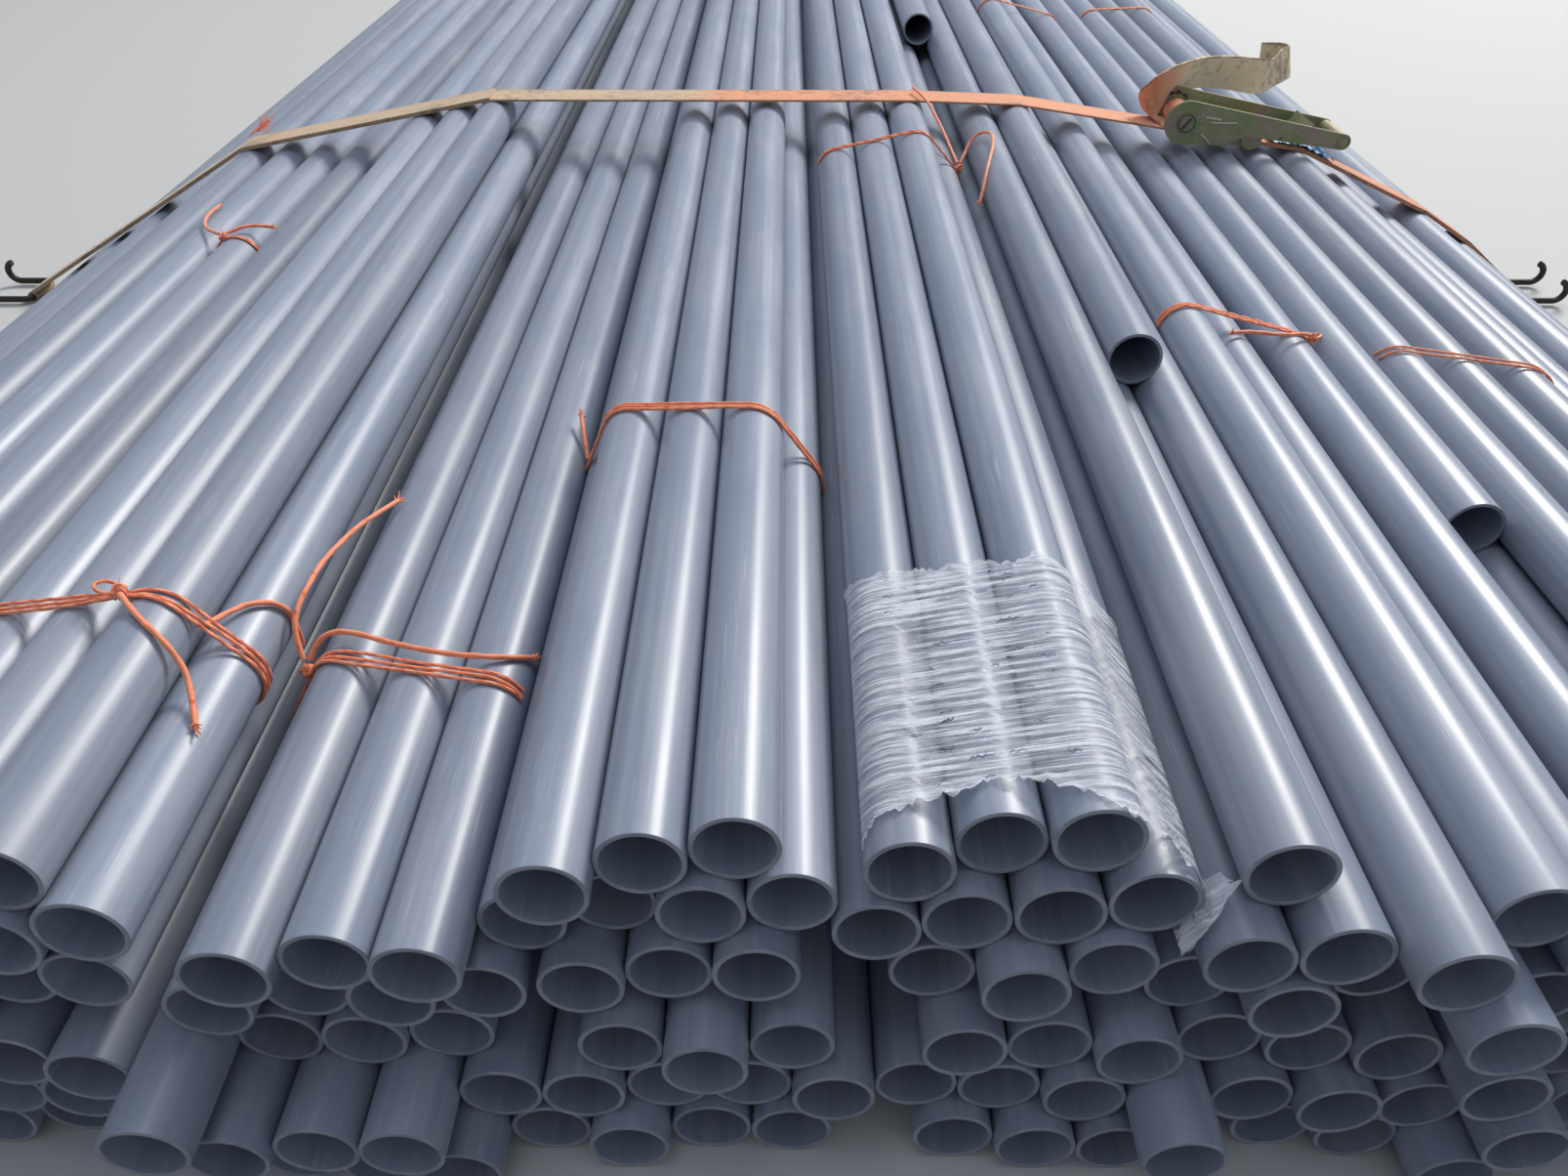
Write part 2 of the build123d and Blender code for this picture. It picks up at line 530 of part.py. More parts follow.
def build():
    """Every node of the pile, before it is moved to its origin."""
    pile = lay_out()
    nodes = {}
    for name, spots in pile.items():
        fronts = pipe_fronts(name, len(spots))
        length = pipe_length(name)
        nodes[name] = [pipe(x, z, front, length) for (x, z), front in zip(spots, fronts)]

    for number, places in TIES.items():
        pipes = pile[f"upper_bundle_{number}"]
        nodes[f"twine_tie_{number}"] = [
            tie([pipes[i] for i in chosen or range(len(pipes))], back, slant, along, pile)
            for back, slant, along, chosen in places]
    for name, points in TWINE_ENDS.items():
        nodes[name] = [twine_end(name, points)]
    film = saddle(pile["upper_bundle_5"], FILM_THICK, TWINE_CLEAR, FILM_BACK, FILM_WIDTH, pile)
    nodes["stretch_film"] = [film]

    under = [spot for name, spots in pile.items() for spot in spots
             if SET_BACK.get(name, 0) < STRAP_BACK]
    xs = [x for x, z in under]
    bars = {-1: (min(xs) - PIPE_R - STRAP_REACH_LEFT, LOOP_R + STRAP_CLEAR),
            1: (max(xs) + PIPE_R + STRAP_REACH_RIGHT, LOOP_R + STRAP_CLEAR)}
    ends = {-1: lead_on(bars[-1], under, -1, 2 * STRAP_THICK),
            1: lead_on(bars[1], under, 1, 2 * STRAP_THICK)}
    chain = top_chain(under + list(ends.values()))
    lifts = lift_angles(chain)
    gap = max(i for i, (x, z) in enumerate(chain) if x < RATCHET_X)
    lift = lifts[gap]
    inner = PIPE_R + STRAP_CLEAR
    along = (RATCHET_X - chain[gap][0]) / sin(radians(lift))
    foot = spot_at(chain[gap], along, lift - 90)
    spool = spot_at(foot, inner + WOUND_R, lift)
    bolt_foot = spot_at(foot, FRAME_LONG, lift - 90)
    bolt = spot_at(bolt_foot, inner + EYE_R, lift)
    place = Pos(spool[0], STRAP_BACK + STRAP_WIDTH / 2, spool[1]) * Rot(0, 90 - lift, 0)

    seam = (lifts[SEWN_OVER - 2] + lifts[SEWN_OVER - 1]) / 2
    left = band(chain[: gap + 1] + [foot], inner, STRAP_THICK, lifts[0], lift, STRAP_BACK, STRAP_WIDTH)
    left += band(chain[:SEWN_OVER], inner + STRAP_THICK, STRAP_THICK, lifts[0], seam, STRAP_BACK, STRAP_WIDTH)
    left += eye(bars[-1], HOOK_ROD / 2 + STRAP_CLEAR, LOOP_R)
    left += eye(spool, SPOOL_R + STRAP_CLEAR, WOUND_R)
    nodes["strap_webbing_left"] = [left - rod(bars[-1], HOOK_ROD / 2 + STRAP_CLEAR,
                                              STRAP_BACK - 1, STRAP_BACK + STRAP_WIDTH + 1)]
    right = band([bolt_foot] + chain[gap + 1:], inner, 2 * STRAP_THICK, lift, lifts[-1],
                 STRAP_BACK, STRAP_WIDTH)
    right += eye(bars[1], HOOK_ROD / 2 + STRAP_CLEAR, LOOP_R)
    right += eye(bolt, END_BOLT_R + STRAP_CLEAR, EYE_R)
    for spot, radius in ((bars[1], HOOK_ROD / 2), (bolt, END_BOLT_R)):
        right -= rod(spot, radius + STRAP_CLEAR, STRAP_BACK - 1, STRAP_BACK + STRAP_WIDTH + 1)
    nodes["strap_webbing_right"] = [right]
    label = Box(LABEL_LONG, STRAP_WIDTH - 2, LABEL_THICK)
    label_rise = 2 * STRAP_THICK - WOUND_R + LABEL_THICK / 2
    nodes["strap_label"] = [place * Pos(LABEL_AT + LABEL_LONG / 2, 0, label_rise) * label]
    nodes["strap_tail"] = [place * strap_tail()]
    for name, shape in ratchet_parts().items():
        nodes[name] = list((place * shape).solids())
    nodes["strap_hook_left"] = [strap_hook(bars[-1], -1)]
    nodes["strap_hook_right"] = [strap_hook(bars[1], 1)]
    return nodes, place


nodes, place = build()
box = Compound(children=[s for solids in nodes.values() for s in solids]).bounding_box()
middle = Pos(-(box.min.X + box.max.X) / 2, -(box.min.Y + box.max.Y) / 2, 0)
print("middle", middle.position, "box", box.size, "spool", (middle * place).position)
os.makedirs("parts", exist_ok=True)
for name, solids in nodes.items():
    export_step(Compound(label=name, children=[middle * s for s in solids]), f"parts/{name}.step")
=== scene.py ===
import bmesh
import bpy
import math
import random
import numpy as np
from mathutils import Euler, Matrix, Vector
from mathutils import noise as mathNoise
from mathutils.bvhtree import BVHTree


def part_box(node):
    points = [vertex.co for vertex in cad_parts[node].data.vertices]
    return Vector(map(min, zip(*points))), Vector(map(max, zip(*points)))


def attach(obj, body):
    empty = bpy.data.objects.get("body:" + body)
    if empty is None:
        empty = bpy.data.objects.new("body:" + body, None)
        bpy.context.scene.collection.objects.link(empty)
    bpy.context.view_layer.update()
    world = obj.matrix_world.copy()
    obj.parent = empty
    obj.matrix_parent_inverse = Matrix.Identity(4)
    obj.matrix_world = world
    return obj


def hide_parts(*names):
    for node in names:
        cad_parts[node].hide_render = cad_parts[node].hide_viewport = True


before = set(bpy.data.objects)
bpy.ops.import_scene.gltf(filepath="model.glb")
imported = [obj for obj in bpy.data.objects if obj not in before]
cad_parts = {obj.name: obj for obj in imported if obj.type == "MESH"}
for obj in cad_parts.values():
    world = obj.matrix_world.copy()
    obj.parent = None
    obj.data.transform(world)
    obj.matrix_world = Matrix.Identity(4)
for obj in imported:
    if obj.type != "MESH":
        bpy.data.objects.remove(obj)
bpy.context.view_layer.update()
print("frame loaded:", len(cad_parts), "nodes")


# small helpers for materials

def feed(tree, socket, value):
    if isinstance(value, bpy.types.NodeSocket):
        tree.links.new(value, socket)
    else:
        socket.default_value = value


def startMaterial(name):
    material = bpy.data.materials.new(name)
    material.use_nodes = True
    return material, material.node_tree, material.node_tree.nodes["Principled BSDF"]


def sums(tree, operation, a, b=0.0, clamp=False):
    node = tree.nodes.new("ShaderNodeMath")
    node.operation = operation
    node.use_clamp = clamp
    feed(tree, node.inputs[0], a)
    feed(tree, node.inputs[1], b)
    return node.outputs[0]


def noise(tree, vector, scale, detail=2.0, rough=0.5):
    node = tree.nodes.new("ShaderNodeTexNoise")
    feed(tree, node.inputs["Vector"], vector)
    node.inputs["Scale"].default_value = scale
    node.inputs["Detail"].default_value = detail
    node.inputs["Roughness"].default_value = rough
    return node.outputs["Fac"]


def stretched(tree, vector, scale, shift=(0.0, 0.0, 0.0)):
    node = tree.nodes.new("ShaderNodeMapping")
    feed(tree, node.inputs["Vector"], vector)
    node.inputs["Scale"].default_value = scale
    node.inputs["Location"].default_value = shift
    return node.outputs[0]


def between(tree, value, low, high, start=0.0, end=1.0):
    node = tree.nodes.new("ShaderNodeMapRange")
    feed(tree, node.inputs["Value"], value)
    node.inputs["From Min"].default_value = low
    node.inputs["From Max"].default_value = high
    node.inputs["To Min"].default_value = start
    node.inputs["To Max"].default_value = end
    return node.outputs[0]


def blended(tree, share, a, b):
    node = tree.nodes.new("ShaderNodeMix")
    node.data_type = "RGBA"
    feed(tree, node.inputs["Factor"], share)
    feed(tree, node.inputs["A"], a)
    feed(tree, node.inputs["B"], b)
    return node.outputs["Result"]


def raised(tree, shader, height, distance, strength=1.0):
    node = tree.nodes.new("ShaderNodeBump")
    node.inputs["Strength"].default_value = strength
    node.inputs["Distance"].default_value = distance
    feed(tree, node.inputs["Height"], height)
    tree.links.new(node.outputs[0], shader.inputs["Normal"])


def objectPlace(tree):
    return tree.nodes.new("ShaderNodeTexCoord").outputs["Object"]


def rgb(r, g, b):
    return (r, g, b, 1.0)


# camera

cameraSet = {"place": (0.01815, -2.849, 0.7406), "tiltDeg": 51.775, "turnDeg": 0.13, "lens": 26.47,
             "sensor": 36.0, "near": 0.02}


def setCamera():
    camera = bpy.data.objects.new("photoCamera", bpy.data.cameras.new("photoCamera"))
    bpy.context.scene.collection.objects.link(camera)
    camera.location = cameraSet["place"]
    camera.rotation_euler = (math.radians(cameraSet["tiltDeg"]), 0.0, math.radians(cameraSet["turnDeg"]))
    camera.data.lens = cameraSet["lens"]
    camera.data.sensor_width = cameraSet["sensor"]
    camera.data.clip_start = cameraSet["near"]
    bpy.context.scene.camera = camera


setCamera()
print("camera set")


# geometry helpers

def newShape():
    return {"verts": [], "faces": [], "uvs": []}


def meshPiece(name, shape, materials, body="stack", replaced=(), sharpDeg=50.0):
    # shape may also say which of two materials each face takes, and give values for every vertex
    mesh = bpy.data.meshes.new(name)
    mesh.from_pydata(shape["verts"], [], shape["faces"])
    for material in materials if isinstance(materials, tuple) else (materials,):
        mesh.materials.append(material)
    if "faceMaterials" in shape:
        mesh.polygons.foreach_set("material_index", shape["faceMaterials"])
    mesh.uv_layers.new(name="UVMap").data.foreach_set("uv", np.array(shape["uvs"], np.float32).ravel())
    for field, values in shape.get("fields", {}).items():
        mesh.attributes.new(field, "FLOAT", "POINT").data.foreach_set("value", values)
    mesh.shade_smooth()
    mesh.set_sharp_from_angle(angle=math.radians(sharpDeg))
    piece = bpy.data.objects.new(name, mesh)
    bpy.context.scene.collection.objects.link(piece)
    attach(piece, body)
    if replaced:
        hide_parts(*replaced)
    return piece


def addStrand(shape, points, radius, rng, sides=8, groove=0.10, lobes=3, turnsPerMetre=70.0):
    # round strand along a line of points, with grooves that wind about it
    points = [Vector(p) for p in points]
    radii = radius if isinstance(radius, list) else [radius] * len(points)
    start = len(shape["verts"])
    phase = rng.random() * 2 * math.pi
    up, run, runs = None, 0.0, []
    for i, point in enumerate(points):
        ahead = (points[min(i + 1, len(points) - 1)] - points[max(i - 1, 0)]).normalized()
        if up is None:
            up = ahead.orthogonal().normalized()
        up = (up - ahead * up.dot(ahead)).normalized()
        side = ahead.cross(up)
        if i:
            run += (point - points[i - 1]).length
        runs.append(run)
        for k in range(sides):
            turn = 2 * math.pi * k / sides
            wave = 1 - groove + groove * math.cos(lobes * turn - phase - turnsPerMetre * 2 * math.pi * run)
            spot = point + (up * math.cos(turn) + side * math.sin(turn)) * radii[i] * wave
            shape["verts"].append(tuple(spot))
    around = 2 * math.pi * radii[0]
    for i in range(len(points) - 1):
        for k in range(sides):
            t = (k + 1) % sides
            low, high = start + i * sides, start + (i + 1) * sides
            shape["faces"].append((low + k, low + t, high + t, high + k))
            u, w = around * k / sides, around * (k + 1) / sides
            shape["uvs"] += [(runs[i], u), (runs[i], w), (runs[i + 1], w), (runs[i + 1], u)]
    last = start + (len(points) - 1) * sides
    for ring, flip in ((start, True), (last, False)):
        order = [ring + k for k in range(sides)]
        shape["faces"].append(tuple(reversed(order)) if flip else tuple(order))
        shape["uvs"] += [(0.0, 0.0)] * sides


# loose fibres: the shortest is a share of the longest; taper gives the thickness on the way to the tip
fibreSet = {"thick": 0.00032, "bend": 0.35, "shortest": 0.45, "sides": 4,
            "taper": ((0.0, 1.0), (0.25, 0.95), (0.5, 0.85), (0.75, 0.65), (1.0, 0.35))}


def addFibres(shape, spot, ahead, count, length, spread, rng, thick=fibreSet["thick"]):
    # thin loose fibres that fan out of one spot
    for k in range(count):
        aim = Vector(ahead).normalized() + Vector([rng.gauss(0, spread) for n in range(3)])
        bend = Vector([rng.gauss(0, fibreSet["bend"]) for n in range(3)])
        reach = length * rng.uniform(fibreSet["shortest"], 1.0)
        line = [Vector(spot) + aim * reach * t + bend * reach * t * t for t, share in fibreSet["taper"]]
        thin = [thick * share for t, share in fibreSet["taper"]]
        addStrand(shape, line, thin, rng, fibreSet["sides"], groove=0.0)


def smoothWalk(rng, count, reach, step):
    # a slow random wander: count values, a new aim every step values
    aims = [rng.uniform(-reach, reach) for k in range(count // step + 3)]
    values = []
    for i in range(count):
        k, t = divmod(i / step, 1.0)
        t = t * t * (3 - 2 * t)
        values.append(aims[int(k)] * (1 - t) + aims[int(k) + 1] * t)
    return values


# pipes: where they lie, from the solids

def pipePlaces(nodeName):
    # every pipe of a node: x and z of its middle line, faced end, far end, radius
    bm = bmesh.new()
    bm.from_mesh(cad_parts[nodeName].data)
    bmesh.ops.remove_doubles(bm, verts=bm.verts, dist=1e-5)
    left = set(bm.verts)
    places = []
    while left:
        reached = [left.pop()]
        corners = []
        while reached:
            vert = reached.pop()
            corners.append(vert.co.copy())
            for edge in vert.link_edges:
                other = edge.other_vert(vert)
                if other in left:
                    left.remove(other)
                    reached.append(other)
        low = [min(c[k] for c in corners) for k in range(3)]
        high = [max(c[k] for c in corners) for k in range(3)]
        places.append(((low[0] + high[0]) / 2, (low[2] + high[2]) / 2, low[1], high[1],
                       (high[0] - low[0]) / 2))
    bm.free()
    return sorted(places)


def topHull(centres):
    chain = []
    for spot in sorted(centres):
        while len(chain) > 1:
            (ax, az), (bx, bz) = chain[-2:]
            if (bx - ax) * (spot[1] - az) - (bz - az) * (spot[0] - ax) < -1e-9:
                break
            chain.pop()
        chain.append(spot)
    return chain


# how far round the outermost pipes a taut band goes, in radians, and how near a solid counts as on it
bandSet = {"pastEnd": 1.75, "near": 0.0021}


def tautLine(centres, reach, step):
    # x, z, outward x and z, and 1 where the line spans a gap, for a taut band over round bars
    chain = topHull(centres)
    lifts = [math.atan2(b[1] - a[1], b[0] - a[0]) + math.pi / 2 for a, b in zip(chain, chain[1:])]
    ends = [lifts[0], lifts[-1]] if lifts else [math.pi / 2] * 2
    turns = [ends[0] + bandSet["pastEnd"]] + lifts + [ends[1] - bandSet["pastEnd"]]
    line = []
    for i, (x, z) in enumerate(chain):
        count = max(1, math.ceil((turns[i] - turns[i + 1]) * reach / step))
        for k in range(count + 1):
            turn = turns[i] + (turns[i + 1] - turns[i]) * k / count
            line.append((x + reach * math.cos(turn), z + reach * math.sin(turn),
                         math.cos(turn), math.sin(turn), 0))
        if i < len(chain) - 1:
            out = (math.cos(turns[i + 1]), math.sin(turns[i + 1]))
            a = (x + reach * out[0], z + reach * out[1])
            b = (chain[i + 1][0] + reach * out[0], chain[i + 1][1] + reach * out[1])
            count = math.ceil(math.hypot(b[0] - a[0], b[1] - a[1]) / step)
            for k in range(1, count):
                share = k / count
                line.append((a[0] + (b[0] - a[0]) * share, a[1] + (b[1] - a[1]) * share, *out, 1))
    return line


def solidTree(nodeName):
    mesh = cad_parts[nodeName].data
    corners = [vert.co.copy() for vert in mesh.vertices]
    return BVHTree.FromPolygons(corners, [tuple(face.vertices) for face in mesh.polygons])


def onSolid(nodeName, line, height):
    # the longest stretch of the line that lies on a CAD solid; height gives y at x
    tree = solidTree(nodeName)
    best, now = [], []
    for spot in line:
        hit = tree.find_nearest((spot[0], height(spot[0]), spot[1]))
        if hit[3] is not None and hit[3] < bandSet["near"]:
            now.append(spot)
        else:
            now = []
        if len(now) > len(best):
            best = list(now)
    return best


# twine: fibrous split film, in strands wound side by side

twineLook = {"colour": rgb(0.86, 0.215, 0.085), "pale": rgb(0.94, 0.40, 0.22),
             "deep": rgb(0.62, 0.100, 0.035), "rough": 0.55, "sheen": 0.35}


def twineFibre():
    material, tree, shader = startMaterial("twineFibre")
    place = tree.nodes.new("ShaderNodeUVMap").outputs[0]
    fibre = noise(tree, stretched(tree, place, (0.05, 1.0, 1.0)), 2600.0, 3.0, 0.6)
    blotch = noise(tree, objectPlace(tree), 160.0, 2.0)
    colour = blended(tree, between(tree, fibre, 0.42, 0.72), twineLook["colour"], twineLook["pale"])
    colour = blended(tree, between(tree, blotch, 0.42, 0.26), colour, twineLook["deep"])
    tree.links.new(colour, shader.inputs["Base Color"])
    shader.inputs["Roughness"].default_value = twineLook["rough"]
    shader.inputs["Sheen Weight"].default_value = twineLook["sheen"]
    raised(tree, shader, fibre, 0.0002, 0.6)
    return material


twine = twineFibre()

# loose ends of twine, each along its own route, frayed where it was cut; swell makes up for the grooves
tailSet = {"diameter": 0.004, "swell": 1.03, "seed": 11, "fibres": 16, "fray": 0.007, "frayIn": 0.002,
           "fraySpread": 0.24, "frayThick": 0.0008, "routes": {
    "twine_end_1a": {"long": 0.052, "route": [(-0.63984, -1.5252, 0.229), (-0.62815, -1.514, 0.232),
        (-0.61215, -1.503, 0.23), (-0.59515, -1.505, 0.2285)]},
    "twine_end_1b": {"long": 0.104, "route": [(-0.64986, -1.52645, 0.22802),
        (-0.66515, -1.518, 0.2285), (-0.67815, -1.499, 0.2295), (-0.68415, -1.477, 0.2295),
        (-0.68515, -1.454, 0.2295), (-0.68315, -1.436, 0.2295)]},
    "twine_end_2a": {"long": 0.111, "route": [(-0.39671, -2.28811, 0.29316),
        (-0.38015, -2.307, 0.294), (-0.36015, -2.32, 0.284), (-0.34915, -2.327, 0.268),
        (-0.34215, -2.34, 0.258), (-0.33415, -2.36, 0.2505)]},
    "twine_end_2b": {"long": 0.09, "route": [(-0.35415, -2.2838, 0.2647),
        (-0.34915, -2.263, 0.2585), (-0.33915, -2.247, 0.254), (-0.32815, -2.238, 0.2455),
        (-0.32265, -2.235, 0.233), (-0.32165, -2.237, 0.214)]},
    "twine_end_3a": {"long": 0.189, "route": [(-0.31125, -2.26166, 0.21551),
        (-0.31665, -2.253, 0.23), (-0.31715, -2.239, 0.241), (-0.31415, -2.218, 0.246),
        (-0.31315, -2.191, 0.246), (-0.30765, -2.156, 0.242), (-0.30285, -2.127, 0.237),
        (-0.28915, -2.09, 0.23)]},
    "twine_end_3b": {"long": 0.175, "route": [(-0.30702, -2.26145, 0.21522),
        (-0.30215, -2.2545, 0.2255), (-0.29115, -2.25, 0.231), (-0.27415, -2.253, 0.232),
        (-0.25215, -2.261, 0.231), (-0.22915, -2.2675, 0.2305), (-0.20615, -2.273, 0.2305),
        (-0.18215, -2.275, 0.23), (-0.16515, -2.27, 0.225), (-0.15465, -2.258, 0.214)]},
    "twine_end_4": {"long": 0.046, "route": [(-0.15215, -2, 0.213), (-0.15565, -1.988, 0.219),
        (-0.15915, -1.974, 0.226), (-0.16215, -1.959, 0.232)]},
    "twine_end_5a": {"long": 0.176, "route": [(0.23834, -1.33645, 0.24963), (0.23185, -1.314, 0.26),
        (0.22535, -1.287, 0.272), (0.21585, -1.25, 0.285), (0.20485, -1.216, 0.298),
        (0.19335, -1.175, 0.2985)]},
    "twine_end_5b": {"long": 0.235, "route": [(0.24255, -1.33701, 0.24994),
        (0.24935, -1.324, 0.2575), (0.25485, -1.311, 0.266), (0.26435, -1.304, 0.275),
        (0.27585, -1.31, 0.2815), (0.28135, -1.328, 0.283), (0.27885, -1.362, 0.282),
        (0.26885, -1.405, 0.279), (0.25885, -1.444, 0.27), (0.25085, -1.472, 0.247)]},
    "twine_end_7": {"long": 0.093, "route": [(0.54265, -1.78391, 0.22483),
        (0.53485, -1.7915, 0.2305), (0.52085, -1.7965, 0.2315), (0.50685, -1.796, 0.231),
        (0.48985, -1.793, 0.232), (0.47185, -1.797, 0.235), (0.45685, -1.803, 0.237)]},
}}


def routePoints(name, route):
    # points along the smooth line of the route
    data = bpy.data.curves.new(name + "_line", "CURVE")
    data.dimensions = "3D"
    spline = data.splines.new("NURBS")
    spline.points.add(len(route) - 1)
    for point, place in zip(spline.points, route):
        point.co = (*place, 1.0)
    spline.order_u = 3
    spline.use_endpoint_u = True
    spline.resolution_u = 10
    holder = bpy.data.objects.new(name + "_line", data)
    bpy.context.scene.collection.objects.link(holder)
    bpy.context.view_layer.update()
    sampled = bpy.data.meshes.new_from_object(holder)
    points = [v.co.copy() for v in sampled.vertices]
    bpy.data.objects.remove(holder)
    return points


def tailPiece(name, values, rng):
    points = routePoints(name, values["route"])
    shape = newShape()
    addStrand(shape, points, tailSet["diameter"] / 2 * tailSet["swell"], rng,
              sides=12, groove=0.06, lobes=2, turnsPerMetre=60.0)
    piece = meshPiece(name + "_strand", shape, twine, "stack", [name])
    ends = newShape()
    root = points[-1] - (points[-1] - points[-2]).normalized() * tailSet["frayIn"]
    addFibres(ends, root, points[-1] - points[-3], tailSet["fibres"], tailSet["fray"],
              tailSet["fraySpread"], rng, tailSet["frayThick"])
    fray = meshPiece(name + "_fray", ends, twine, "stack")
    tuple(values["route"][0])


rng = random.Random(tailSet["seed"])
for name, values in tailSet["routes"].items():
    tailPiece(name, values, rng)
print("twine ends made:", len(tailSet["routes"]))

# taut turns of twine round the bundles: at is y where the tie crosses the bundle's middle, knot is
# in pipe pitches from there, spread is the reach of the strands to either side of it, bow is the size
# and heading of a slack loop. wander and rise: how far a strand strays along and off the pipes, and
# over how many steps. The strands draw in to the gathered share of their spread at a knot.
tieSet = {"seed": 5, "pitch": 0.0503, "strand": 0.00140, "sides": 7, "lift": 0.0016, "step": 0.003,
          "wander": (0.0014, 14), "rise": (0.0003, 9), "uneven": (0.9, 1.1),
          "gathered": 0.3, "gatherReach": 0.05, "knotNear": 0.004, "ties": {
              "twine_tie_1": ("upper_bundle_1", [
                  {"at": -1.5295, "slant": 0.0, "strands": 2, "spread": 0.0022, "knot": -0.25,
                   "only": (-0.63175, 0.19924)},
                  {"at": 1.1705, "slant": 4.0, "strands": 3, "spread": 0.003}]),
              "twine_tie_2": ("upper_bundle_2", [
                  {"at": -2.2815, "slant": -4.6, "strands": 3, "spread": 0.0050, "knot": 0.46,
                   "bow": (0.0095, -1.2)},
                  {"at": 1.3405, "slant": 3.0, "strands": 3, "spread": 0.003}]),
              "twine_tie_3": ("upper_bundle_3", [
                  {"at": -2.28, "slant": -10.8, "strands": 3, "spread": 0.0044, "knot": -1.59},
                  {"at": 1.2205, "slant": -6.0, "strands": 3, "spread": 0.003}]),
              "twine_tie_4": ("upper_bundle_4", [
                  {"at": -2.025, "slant": -11.3, "strands": 3, "spread": 0.0036},
                  {"at": 1.4205, "slant": 5.0, "strands": 3, "spread": 0.003}]),
              "twine_tie_5": ("upper_bundle_5", [
                  {"at": -1.342, "slant": 0.0, "strands": 2, "spread": 0.002, "knot": 1.94}]),
              "twine_tie_7": ("upper_bundle_7", [
                  {"at": -1.78, "slant": 0.0, "strands": 3, "spread": 0.0036, "knot": 1.0,
                   "bow": (0.0065, 1.0)},
                  {"at": -0.3795, "slant": 8.0, "strands": 2, "spread": 0.002}]),
              "twine_tie_8": ("upper_bundle_8", [
                  {"at": -1.834, "slant": -19.3, "strands": 2, "spread": 0.0042},
                  {"at": -0.3295, "slant": 10.0, "strands": 2, "spread": 0.002}])}}

# a knot: size, out of the pipe's surface, and the loose fibres that stand out of it
knotSet = {"size": 0.0048, "strand": 0.0016, "out": 0.003, "spin": 3.1, "turns": 2, "perTurn": 36,
           "points": 40, "fibres": 8, "fibreLong": 0.0045, "fibreSpread": 0.7, "fibreLean": 0.4}


def addKnot(shape, centre, rng):
    # overhand turns pulled together, each a little more than closed
    for k in range(knotSet["turns"]):
        spin = Euler([rng.uniform(0, knotSet["spin"]) for n in range(3)]).to_matrix()
        line = []
        for i in range(knotSet["points"]):
            t = 2 * math.pi * i / knotSet["perTurn"]
            spot = Vector((math.sin(t) + 2 * math.sin(2 * t),
                           math.cos(t) - 2 * math.cos(2 * t), -math.sin(3 * t)))
            line.append(Vector(centre) + spin @ spot * knotSet["size"] / 3)
        addStrand(shape, line, knotSet["strand"], rng, tieSet["sides"])


# a slack loop: how wide it is against its length, and how far it stands up
bowSet = {"strand": 0.0014, "wide": 0.55, "arch": 0.0012, "steps": 24}


def addBow(shape, centre, size, turn, rng):
    # slack little loop that lies beside the knot
    line = []
    for i in range(bowSet["steps"] + 1):
        t = 2 * math.pi * i / bowSet["steps"]
        swing, sway = size * (1 - math.cos(t)), bowSet["wide"] * size * math.sin(t)
        x = swing * math.sin(turn) + sway * math.cos(turn)
        y = swing * math.cos(turn) - sway * math.sin(turn)
        line.append(Vector(centre) + Vector((x, y, bowSet["arch"] * math.sin(t / 2))))
    addStrand(shape, line, bowSet["strand"], rng, tieSet["sides"])


def tiePiece(nodeName, bundle, loops, rng):
    shape = newShape()
    places = pipePlaces(bundle)
    middle = sum(p[0] for p in places) / len(places)
    for loop in loops:
        centres = [(p[0], p[1]) for p in places]
        about = middle
        if "only" in loop:
            centres = [min(centres, key=lambda c: math.dist(c, loop["only"]))]
            about = centres[0][0]
        lean = math.tan(math.radians(loop["slant"]))

        def height(x):
            return loop["at"] + (x - about) * lean

        radius = places[0][4] + tieSet["lift"]
        line = onSolid(nodeName, tautLine(centres, radius, tieSet["step"]), height)
        knotX = about + loop["knot"] * tieSet["pitch"] if "knot" in loop else None
        tied = None
        if knotX is not None:
            tied = max((p for p in line if abs(p[0] - knotX) < tieSet["knotNear"]), key=lambda p: p[1])
        for k in range(loop["strands"]):
            base = loop["spread"] * (2 * k / (loop["strands"] - 1) - 1)
            sway = smoothWalk(rng, len(line), *tieSet["wander"])
            rise = smoothWalk(rng, len(line), *tieSet["rise"])
            points = []
            for i, (x, z, nx, nz, gap) in enumerate(line):
                near = 1.0
                if tied:
                    away = math.dist((x, z), tied[:2]) / tieSet["gatherReach"]
                    near = min(1.0, tieSet["gathered"] + away)
                over = max(rise[i], 0.0)
                points.append((x + nx * over, height(x) + base * near + sway[i], z + nz * over))
            addStrand(shape, points, tieSet["strand"] * rng.uniform(*tieSet["uneven"]), rng, tieSet["sides"])
        if tied:
            out = knotSet["out"]
            centre = (tied[0] + tied[2] * out, height(tied[0]), tied[1] + tied[3] * out)
            addKnot(shape, centre, rng)
            addFibres(shape, centre, (tied[2], knotSet["fibreLean"], tied[3]), knotSet["fibres"],
                      knotSet["fibreLong"], knotSet["fibreSpread"], rng)
            if "bow" in loop:
                addBow(shape, centre, *loop["bow"], rng)
    meshPiece(nodeName + "_strands", shape, twine, "stack", [nodeName])


rng = random.Random(tieSet["seed"])
for nodeName, (bundle, loops) in tieSet["ties"].items():
    tiePiece(nodeName, bundle, loops, rng)
print("ties made:", len(tieSet["ties"]))


# plastic pipe: lengthwise streaks, fine scuffs and a little dust

plasticLook = {"colour": rgb(0.215, 0.250, 0.325), "dusty": rgb(0.285, 0.312, 0.370),
               "scuffed": rgb(0.46, 0.49, 0.54), "rough": 0.33, "worn": 0.46, "toneSpread": 0.14}


